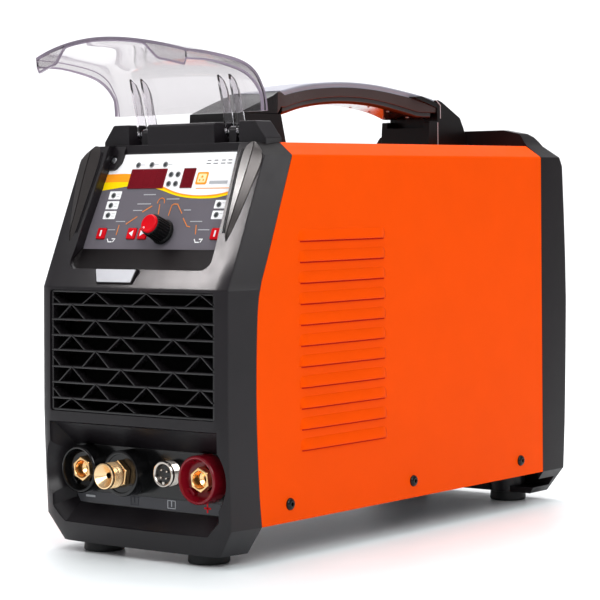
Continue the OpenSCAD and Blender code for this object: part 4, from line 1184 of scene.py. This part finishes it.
def build_leds():
    places = [(x, LAMP_ROW) for x in (-40.6, -26.2, -11.8)]
    places += [(x, u) for x in (-2.9, 4.3) for u in (91.9, 99.8)]
    places += [(-58, u) for u in LEFT_LAMPS] + [(55, u) for u in RIGHT_LAMPS]
    rim = [(2.35, 0), (2.35, 0.62), (1.9, 0.75), (1.6, 0.6)]
    lens = [(1.65, 0.2), (1.6, 0.75), (1.2, 1.15), (0.6, 1.35), (0.01, 1.4)]
    parts = []
    for x, u in places:
        at = on_panel(x, PANEL_DEPTH, u)
        parts.append(lathe("rim", rim, at, PANEL_OUT, LENS_RIM, seg=28))
        parts.append(lathe("lens", lens, at, PANEL_OUT, LENS, seg=28))
    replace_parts(join("indicator_leds_detail", parts), "indicator_leds")


def build_button(node, way):
    x, u = local(node)
    body = node + "_key"
    cap = prism("cap", rect(x - 4.3, x + 4.3, u - 4.6, u + 4.6, 1.0), panel_prism, PANEL_DEPTH - 1.3,
                PANEL_DEPTH + 3, RED, body)
    if way:
        mark = [(x - way * 1.9, u - 2.5), (x + way * 2.1, u), (x - way * 1.9, u + 2.5)]
    else:
        mark = rect(x - 0.8, x + 0.8, u - 2.6, u + 2.6, 0.3)
    o = join(node + "_detail", [round_edges(cap, 0.5, 3), prism("mark", mark, panel_prism, PANEL_DEPTH - 1.42,
                                                                 PANEL_DEPTH - 1.2, WHITE, body)])
    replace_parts(o, node)


def build_knob():
    """Ribbed black skirt with a red cap and a white dot."""
    x, u = local("knob")
    at = on_panel(x, PANEL_DEPTH, u)
    rings = []
    for r, h, rib in ((7.0, 3.6, 0), (10.3, 3.3, 0), (10.4, 4.8, 0), (9.4, 6.0, 0), (9.1, 6.6, 0.35),
                      (8.7, 18.6, 0.35), (8.3, 19.6, 0.2), (7.8, 19.9, 0), (7.5, 18.8, 0)):
        rings.append(circle(at, PANEL_OUT, lambda t: r + rib * math.cos(24 * t), h, 144))
    grip = shade(loft("knob_detail", rings, BLACK_SOFT, "knob_group"), 50)
    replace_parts(grip, "knob")
    profile = [(7.45, 18.4), (7.45, 21.0), (7.2, 21.5), (6.6, 21.9), (5.6, 21.7), (3, 21.5), (0.01, 21.4)]
    cap = lathe("knob_cap_detail", profile, at, PANEL_OUT, RED, "knob_group")
    edge = at + PANEL_OUT.orthogonal().normalized() * 5.2 * MM
    dot = lathe("knob_dot", [(0.01, 21.6), (0.8, 21.75), (0.9, 21.6), (0.9, 21.0)], edge, PANEL_OUT, WHITE,
                "knob_group", seg=20)
    cap = join("knob_cap_piece", [cap, dot])
    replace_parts(cap, "knob_cap")


def build_badge():
    """Blank brushed badge in a dark frame."""
    base = rounded([(-34.6, 1.6), (2.6, 1.6), (5.2, 14.2), (-39.6, 14.2)], 1.0, 4)
    face = rounded([(-33.6, 2.6), (1.6, 2.6), (3.9, 13.3), (-38.3, 13.3)], 0.7, 4)
    o = join("badge_detail", [
        round_edges(prism("badge_base", base, panel_prism, -5.4, 1.5, FRAME_DARK), 0.4),
        round_edges(prism("badge_face", face, panel_prism, -6.0, -5.0, SILVER), 0.25)])
    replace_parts(o, "badge")
    return o


panel = build_panel()
build_display("current_display", 3)
build_display("pulse_display", 1)
build_leds()
for button, way in BUTTONS.items():
    build_button(button, way)
build_knob()
badge = build_badge()

# ------------------------------------------------------------------ lid

# (share of the way from the hinge to the front, (depth, height)) of the sheet's side edge, of its
# middle and of the side wall's lower edge, with the lid open
LID_SIDE = [(0.0, (72, 343.8)), (0.14, (70.6, 353)), (0.28, (67, 362.1)), (0.42, (57.6, 374)),
            (0.56, (40.1, 381.6)), (0.78, (7, 386.2)), (1.0, (-22, 387.6))]
LID_MID = [(0.0, (72, 343.8)), (0.14, (71.4, 354)), (0.28, (69.2, 364)), (0.42, (62, 376.5)),
           (0.56, (44, 387)), (0.78, (5, 396.4)), (1.0, (-32.5, 399.2))]
LID_LOW = [(0.0, (66.0, 343.8)), (0.14, (65.7, 351)), (0.28, (63.6, 358.3)), (0.42, (53.3, 367.8)),
           (0.56, (37.2, 374.1)), (0.78, (6.9, 379)), (1.0, (-17, 379.6))]
LID_X = 77.5
LID_CORNER_Z = 379.6
TAB_START, TAB_END = 41, 53  # the front rim deepens into the corner tabs between these
RIM_DROP, TAB_DROP = 3.4, 13.0
TOP_BAND, LOW_BAND = 2.3, 1.5  # the milkier, purple-grey bands along the walls' edges: painted shade of the clear edges


def spline(table, s):
    """Smooth Catmull-Rom interpolation of (key, (d, z)) rows."""
    keys = [k for k, _ in table]
    i = max(j for j in range(len(keys) - 1) if keys[j] <= s + 1e-9)
    p1, p2 = Vector(table[i][1]), Vector(table[i + 1][1])
    p0 = Vector(table[i - 1][1]) if i > 0 else p1 * 2 - p2
    p3 = Vector(table[i + 2][1]) if i + 2 < len(table) else p2 * 2 - p1
    t = (s - keys[i]) / (keys[i + 1] - keys[i])
    return 0.5 * ((2 * p1) + (p2 - p0) * t + (2 * p0 - 5 * p1 + 4 * p2 - p3) * t * t
                  + (3 * p1 - p0 - 3 * p2 + p3) * t ** 3)


def lid_point(x, s):
    """Point of the curved sheet: x across, s from the hinge (0) to the front (1)."""
    q = spline(LID_SIDE, s).lerp(spline(LID_MID, s), 1 - abs(x / LID_X) ** 1.9)
    return P(x, q.x, q.y)


def rim_drop(x):
    """Height of the front rim: narrow in the middle, with a tab at both corners."""
    t = min(1, max(0, (abs(x) - TAB_START) / (TAB_END - TAB_START)))
    return RIM_DROP + t * (TAB_DROP - RIM_DROP)


def build_lid_shell():
    n_s, n_x = 44, 54
    ss = [k / n_s for k in range(n_s + 1)]
    xs = [-LID_X + 2 * LID_X * k / n_x for k in range(n_x + 1)]
    bm = bmesh.new()
    grid = [[bm.verts.new(lid_point(x, s)) for x in xs] for s in ss]
    for i in range(n_s):
        for j in range(n_x):
            bm.faces.new((grid[i][j], grid[i][j + 1], grid[i + 1][j + 1], grid[i + 1][j]))
    between = {}

    def wall(tops, lows):
        """Wall from the sheet's edge to its rim, with a paler band along both edges, purple-grey and less
        clear: painted shade of the clear edges.
        """
        steps = []
        for top, low in zip(tops, lows):
            if (top, low) not in between:
                a, b = top.co, low.co
                reach = (b - a).length / MM
                between[top, low] = [bm.verts.new(a.lerp(b, min(TOP_BAND / reach, 0.4))),
                                     bm.verts.new(b.lerp(a, min(LOW_BAND / reach, 0.4)))]
            steps.append([top] + between[top, low] + [low])
        for p, q in zip(steps, steps[1:]):
            for r, mat in enumerate((1, 0, 1)):
                bm.faces.new((p[r], q[r], q[r + 1], p[r + 1])).material_index = mat

    rim = []
    for j, x in enumerate(xs):
        top = grid[n_s][j].co
        low = LID_CORNER_Z * MM if j in (0, n_x) else max(top.z - rim_drop(x) * MM, 375.4 * MM)
        rim.append(bm.verts.new((top.x, top.y + 0.8 * MM, low)))
    wall(grid[n_s], rim)
    for side, j in ((-1, 0), (1, n_x)):
        low = [bm.verts.new(P(side * LID_X, *spline(LID_LOW, s))) for s in ss[:-1]]
        wall([row[j] for row in grid], low + [rim[j]])
    o = link("lid_shell", bm, [CLEAR, LID_EDGE_SHADE], "lid")
    solid = thicken(o, 2.2)
    solid.use_even_offset = True
    # the rim faces get the edge colour in painted shade
    solid.material_offset_rim = 1
    bake(o)
    bm = bmesh.new()
    bm.from_mesh(o.data)
    bmesh.ops.recalc_face_normals(bm, faces=bm.faces)
    bm.to_mesh(o.data)
    bm.free()
    round_edges(o, 0.8, 3, 45)
    # faces by the side edges get the edge colour in painted shade
    for f in o.data.polygons:
        if abs(f.center.x) > (LID_X - 1.1) * MM and 0.2 < abs(f.normal.x) < 0.92:
            f.material_index = 1
    return o


def build_fin(x, s):
    """Curved fin from a hinge pin up to the sheet."""
    pin = centre("hinge_pins")
    d, z = (pin.y - KNEE_Y) / MM, pin.z / MM
    outline = [(d + 5.4 * math.cos(t), z + 5.4 * math.sin(t))
               for t in (math.pi + math.pi * k / 14 for k in range(15))]
    outline += [(d + 1.6, 346), (d + 0.4, 352), (d - 2.4, 361), (d - 8, 368.6), (d - 14, 372.6),
                (d - 12.8, 366), (d - 10.2, 356), (d - 7.4, 346)]
    fin = prism("lid_fin", outline, along_x, s * x, s * (x + 2.4), CLEAR_FIN, "lid")
    cut(fin, lathe("cutter", [(2.05, -5), (2.05, 10)], P(s * (x - 2), d, z), (s, 0, 0), CLEAR, None, seg=32,
                   closed=True))
    return round_edges(fin, 0.45)


def build_lid():
    shell = build_lid_shell()
    lid = join("clear_lid_detail", [shell] + [build_fin(x, s) for x in (39.0, 50.5) for s in (1, -1)])
    lid.visible_shadow = False
    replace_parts(lid, "clear_lid")


build_lid()

# ------------------------------------------------------------------ handle

# arcs of the grip's top and underside: the middle's depth, the centre's height, the radius
TOP_ARC, UNDER_ARC = (258.0, -151.0, 525.0), (256.0, -54.5, 410.0)
NOSE = [(99, 344.3), (120, 351.6), (143, 359.4), (156, 366), (170, 400)]
FOOT_Z = 344.5  # where the handle stands on its front bracket
HALF_WIDE, HALF_SLIM = 25.5, 17.8


def arc_height(arc, d):
    middle, base, radius = arc
    return base + math.sqrt(radius ** 2 - (d - middle) ** 2)


def handle_top(d):
    return min(arc_height(TOP_ARC, d), lerp_table(NOSE, d))


def handle_low(d):
    return max(arc_height(UNDER_ARC, d), 344.4)


def handle_half(d):
    """Half width: slim in the grip, wide at both ends."""
    t = min(1, max(0, (d - 140) / 70), max(0, (385 - d) / 70))
    return HALF_WIDE - (HALF_WIDE - HALF_SLIM) * t * t * (3 - 2 * t)


def grip_ring(d, top, low, hx, r_top, r_low):
    pts = [(-hx, top), (-hx + 0.6, low), (hx - 0.6, low), (hx, top)]
    return [P(x, d, z) for x, z in rounded(pts, [r_top, r_low, r_low, r_top], 5)]


def build_handle_upper():
    rings = []
    for d in [99.2, 101, 106, 114, 124, 134, 143, 149, 154] + [160 + k * 7 for k in range(31)] + [372.4]:
        top = handle_top(d)
        low = min(handle_low(d) + 5.6, top - 1.2) if d > 152 else FOOT_Z
        if d < 104:
            top = min(top, FOOT_Z + (d - 98.5) * 1.2)
        inlay = 4.9 * min(1, max(0, (d - 152) / 8))
        rings.append(grip_ring(d, top - inlay, low, handle_half(d), 0.5, 0.8))
    o = loft("handle_upper_detail", rings, [HANDLE, BRACKET])
    for f in o.data.polygons:
        if f.center.y < P(0, 151, 0).y:
            f.material_index = 1
    shade(o, 35)
    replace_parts(o, "handle_upper")


def build_handle_lower():
    rings = [grip_ring(d, handle_low(d) + 5.7, handle_low(d), handle_half(d) - 1.2, 0.3, 3.4)
             for d in [157] + [160 + k * 7 for k in range(30)] + [366]]
    parts = [shade(loft("handle_lower_detail", rings, HANDLE_LOW), 35)]
    rivet = [(1.5, -0.4), (1.4, 0.25), (0.7, 0.5), (0.01, 0.55)]
    for d in (206, 292, 320, 345):
        for s in (1, -1):
            at = P(s * (handle_half(d) - 8), d, handle_low(d))
            parts.append(lathe("rivet", rivet, at, (0, 0, -1), STEEL, seg=18))
    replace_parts(join("handle_lower_piece", parts), "handle_lower")


def build_handle_strip():
    rings = []
    for d in [153.5, 156, 160] + [167 + k * 7 for k in range(29)] + [370]:
        top = handle_top(d)
        low = top - min(5.0, 1.2 + (d - 153) * 0.6)
        rings.append(grip_ring(d, top, low, handle_half(d) - 0.25, 2.6, 0.3))
    o = shade(loft("handle_strip_detail", rings, HANDLE_TOP), 35)
    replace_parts(o, "handle_strip")


def build_front_bracket():
    plan = rounded([(-20, 91.5), (20, 91.5), (26, 99), (26, 159), (-26, 159), (-26, 99)],
                   [3, 3, 3, 1.5, 1.5, 3], 4)
    o = prism("handle_front_bracket_detail", plan, along_z, TOP_Z, 346, BRACKET)
    cut(o, cutter([(60, 300), (60, 400), (200, 400), (200, 344.4), (150, 344.4), (99, 344.4), (95.4, 338),
                   (91.6, 319), (91.6, 300)], along_x, -40, 40))
    cut(o, cutter([(149.5, 352), (158.5, 318), (180, 318), (180, 352)], along_x, -40, 40))
    round_edges(o, 0.8, 3, 30)
    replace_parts(o, "handle_front_bracket")


def build_rear_bracket():
    side = rounded([(358, TOP_Z), (360.2, 342.5), (372.6, 342.5), (372.6, 361.8), (380, 359.6), (408, 346),
                    (413.6, 336.8), (421.5, TOP_Z)], [0, 1.6, 0, 1.2, 6, 3, 3, 0], 4)
    block = prism("handle_rear_bracket_detail", side, along_x, -26, 26, BRACKET)
    # a saddle for the grip's lower half
    cut(block, cutter([(355, 338.6), (366, 334.5), (373, 333), (373, 352), (355, 352)], along_x, -20, 20))
    round_edges(block, 1.0, 3, 30)
    hood = rounded([(336.5, 363.4), (349, 364.2), (366, 360.2), (380, 356.5), (380, 352), (366, 356),
                    (349, 360.2)], [0.5, 4, 4, 0, 0, 4, 4], 4)
    ridge = rounded([(376.5, 345), (377.4, 345), (377.4, 357), (371, 361.4), (370.4, 360.8), (376.5, 356.4)],
                    0.2, 2)
    o = join("handle_rear_bracket_piece", [
        block, round_edges(prism("hood", hood, along_x, -25.8, 25.8, BRACKET), 0.5, 2, 30),
        # light-grey lines along the bracket's seam and ridge: painted highlights on the black edges
        prism("bracket_seam", rect(372.4, 373.2, 321, 341.5), along_x, 25.7, 26.25, MARK),
        prism("bracket_ridge", ridge, along_x, 25.8, 26.3, MARK)])
    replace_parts(o, "handle_rear_bracket")


build_handle_upper()
build_handle_lower()
build_handle_strip()
build_front_bracket()
build_rear_bracket()

# ------------------------------------------------------------------ back and inside

for node, mat, bevel in (("fan_frame", GLOSS_BLACK, 0.5), ("fan_rotor", BLACK_SOFT, 0.4),
                         ("fan_guard", NICKEL, 0), ("switch_body", GLOSS_BLACK, 0.4),
                         ("switch_rocker", RED, 0.35), ("cable_gland", GLOSS_BLACK, 0.4),
                         ("gas_inlet", BRASS, 0.15), ("earth_stud", BRASS_PLAIN, 0.2)):
    refine(node, mat, bevel)
# CAD nodes that stay as they are and only get a material
for node, mat in (("foot_screws", STEEL), ("base_pan", STEEL), ("fan_screws", BLACK_STEEL),
                  ("handle_screws", STEEL), ("main_board", BOARD), ("heatsinks", ALU),
                  ("power_modules", CORE), ("capacitors", SLEEVE), ("transformer", CORE),
                  ("output_choke", COPPER), ("gas_valve", BRASS_PLAIN), ("gas_hose", HOSE),
                  ("control_board", BOARD), ("encoder_body", STEEL), ("encoder_shaft", STEEL),
                  ("hinge_pins", STEEL)):
    materials = frame["nodes"][node].data.materials
    materials.clear()
    materials.append(mat)

# ------------------------------------------------------------------ studio, in metres

VIEW_TURN = 38.5  # degrees from the front to the camera
CAM_SHIFT = KNEE_Y + 0.206
EYE, AIM = Vector((1.1447, -1.4391 + CAM_SHIFT, 0.2807)), Vector((0, CAM_SHIFT, 0.1907))
ROLL = -0.7  # degrees
FOCAL, SENSOR = 131.586, 36  # millimetres


def sweep_floor():
    """Pale floor that rises into a wall behind the machine."""
    start, bend, end = 3.0, 2.4, 9.0
    path = [(y, 0) for y in (-end, -2.6, -1.0, 1.0, start)]
    for k in range(1, 15):
        t = k * math.pi / 28
        path.append((start + bend * math.sin(t), bend * (1 - math.cos(t))))
    path += [(5.4, 3.4), (5.4, 4.6)]
    across = (-end, -4.5, -1.5, 1.5, 4.5, end)
    bm = bmesh.new()
    loft_bm(bm, [[Vector((x, y, z)) for x in across] for y, z in path], close=False)
    bmesh.ops.transform(bm, matrix=Matrix.Rotation(math.radians(VIEW_TURN), 4, "Z"), verts=bm.verts)
    mat = material("floor_pale", (0.84, 0.84, 0.85, 1), 0.4, grain=0.02, mottle=0.01, spec=0.25)
    floor = link("studio_floor", bm, mat, None)
    for f in floor.data.polygons:
        f.use_smooth = True
    return floor


def area(name, at, look, size, power, color=(1, 1, 1), only=(), spread=180):
    """Area light at a point, turned to look at another; only= lights nothing but those pieces."""
    light = bpy.data.lights.new(name, "AREA")
    light.energy = power
    light.shape = "RECTANGLE"
    light.size, light.size_y = size
    light.color = color
    light.spread = math.radians(spread)
    o = bpy.data.objects.new(name, light)
    bpy.context.scene.collection.objects.link(o)
    o.location = at
    o.rotation_euler = (Vector(look) - Vector(at)).to_track_quat("-Z", "Y").to_euler()
    o.visible_camera = False
    if only:
        o.light_linking.receiver_collection = bpy.data.collections.new(name + "_receivers")
        for piece in only:
            o.light_linking.receiver_collection.objects.link(piece)


def light_studio(floor):
    world = bpy.data.worlds.new("studio")
    bpy.context.scene.world = world
    world.use_nodes = True
    sky = world.node_tree.nodes["Background"]
    sky.inputs["Color"].default_value = (0.97, 0.97, 1.0, 1)
    sky.inputs["Strength"].default_value = 0.42
    frames = (front, hump, rear, leaf_left)
    rest = [o for o in bpy.data.objects if o.type == "MESH" and o not in frames]
    metal = [bpy.data.objects[n + "_detail"]
             for n in ("torch_connector", "positive_contact", "negative_contact",
                       "control_socket_shell", "control_socket_insert")]
    upper_left = (-0.48, -0.80, 0.72)
    leaf = (0.082, -0.19, 0.29)
    area("key", (2.0, -1.5, 1.9), (0, 0, 0.15), (1.5, 1.3), 36)
    # highlights on single pieces
    area("slope", upper_left, (0.08, -0.24, 0.24), (0.2, 0.24), 1.15, only=[front, hump])
    area("badge", upper_left, (0.0, -0.24, 0.24), (0.3, 0.3), 3.0, only=[badge])
    area("corner", (-0.206, -0.43, 0.506), (0.085, -0.228, 0.214), (0.10, 0.10), 0.044,
         color=(1.0, 0.94, 0.94), only=[front], spread=26)
    area("leaf_inner", (-0.43, -0.33, 0.58), leaf, (0.2, 0.2), 4.0, only=[leaf_right])
    area("leaf_outer", (-0.118, -0.60, 0.69), leaf, (0.2, 0.2), 1.8, only=[leaf_right])
    area("panel", (0.8, -1.0, 0.9), (0.0, -0.19, 0.28), (0.5, 0.5), 3.4, only=[panel, badge])
    area("metal", (0.35, -1.1, 0.6), (0.0, -0.2, 0.06), (0.6, 0.6), 7.0, only=metal)
    area("floor_right", (0.9, -0.3, 1.8), (0.35, -0.1, 0), (1.2, 1.2), 12,
         color=(0.76, 1.0, 1.0), only=[floor])
    area("band", (1.35, 0.67, 0.56), (0.1, -0.18, 0.28), (0.8, 0.4), 3.4, only=[front, hump])
    # soft boxes over the whole scene
    area("top", (-0.1, 0.2, 2.4), (0, 0.1, 0), (2.0, 2.2), 44)
    area("wall", (-0.6, 1.6, 3.2), (-3.0, 3.6, 0.6), (2.6, 1.6), 85, only=rest)
    area("floor", (-1.6, 1.4, 2.6), (-1.6, 1.8, 0), (2.4, 2.0), 58)


def place_camera():
    data = bpy.data.cameras.new("photo_camera")
    cam = bpy.data.objects.new("photo_camera", data)
    bpy.context.scene.collection.objects.link(cam)
    data.sensor_width = SENSOR
    data.lens = FOCAL
    data.clip_end = 50
    cam.location = EYE
    turn = (AIM - EYE).to_track_quat("-Z", "Y").to_matrix().to_4x4()
    cam.rotation_euler = (turn @ Matrix.Rotation(math.radians(ROLL), 4, "Z")).to_euler()
    bpy.context.scene.camera = cam


light_studio(sweep_floor())
place_camera()
bpy.context.scene.view_settings.view_transform = "Standard"
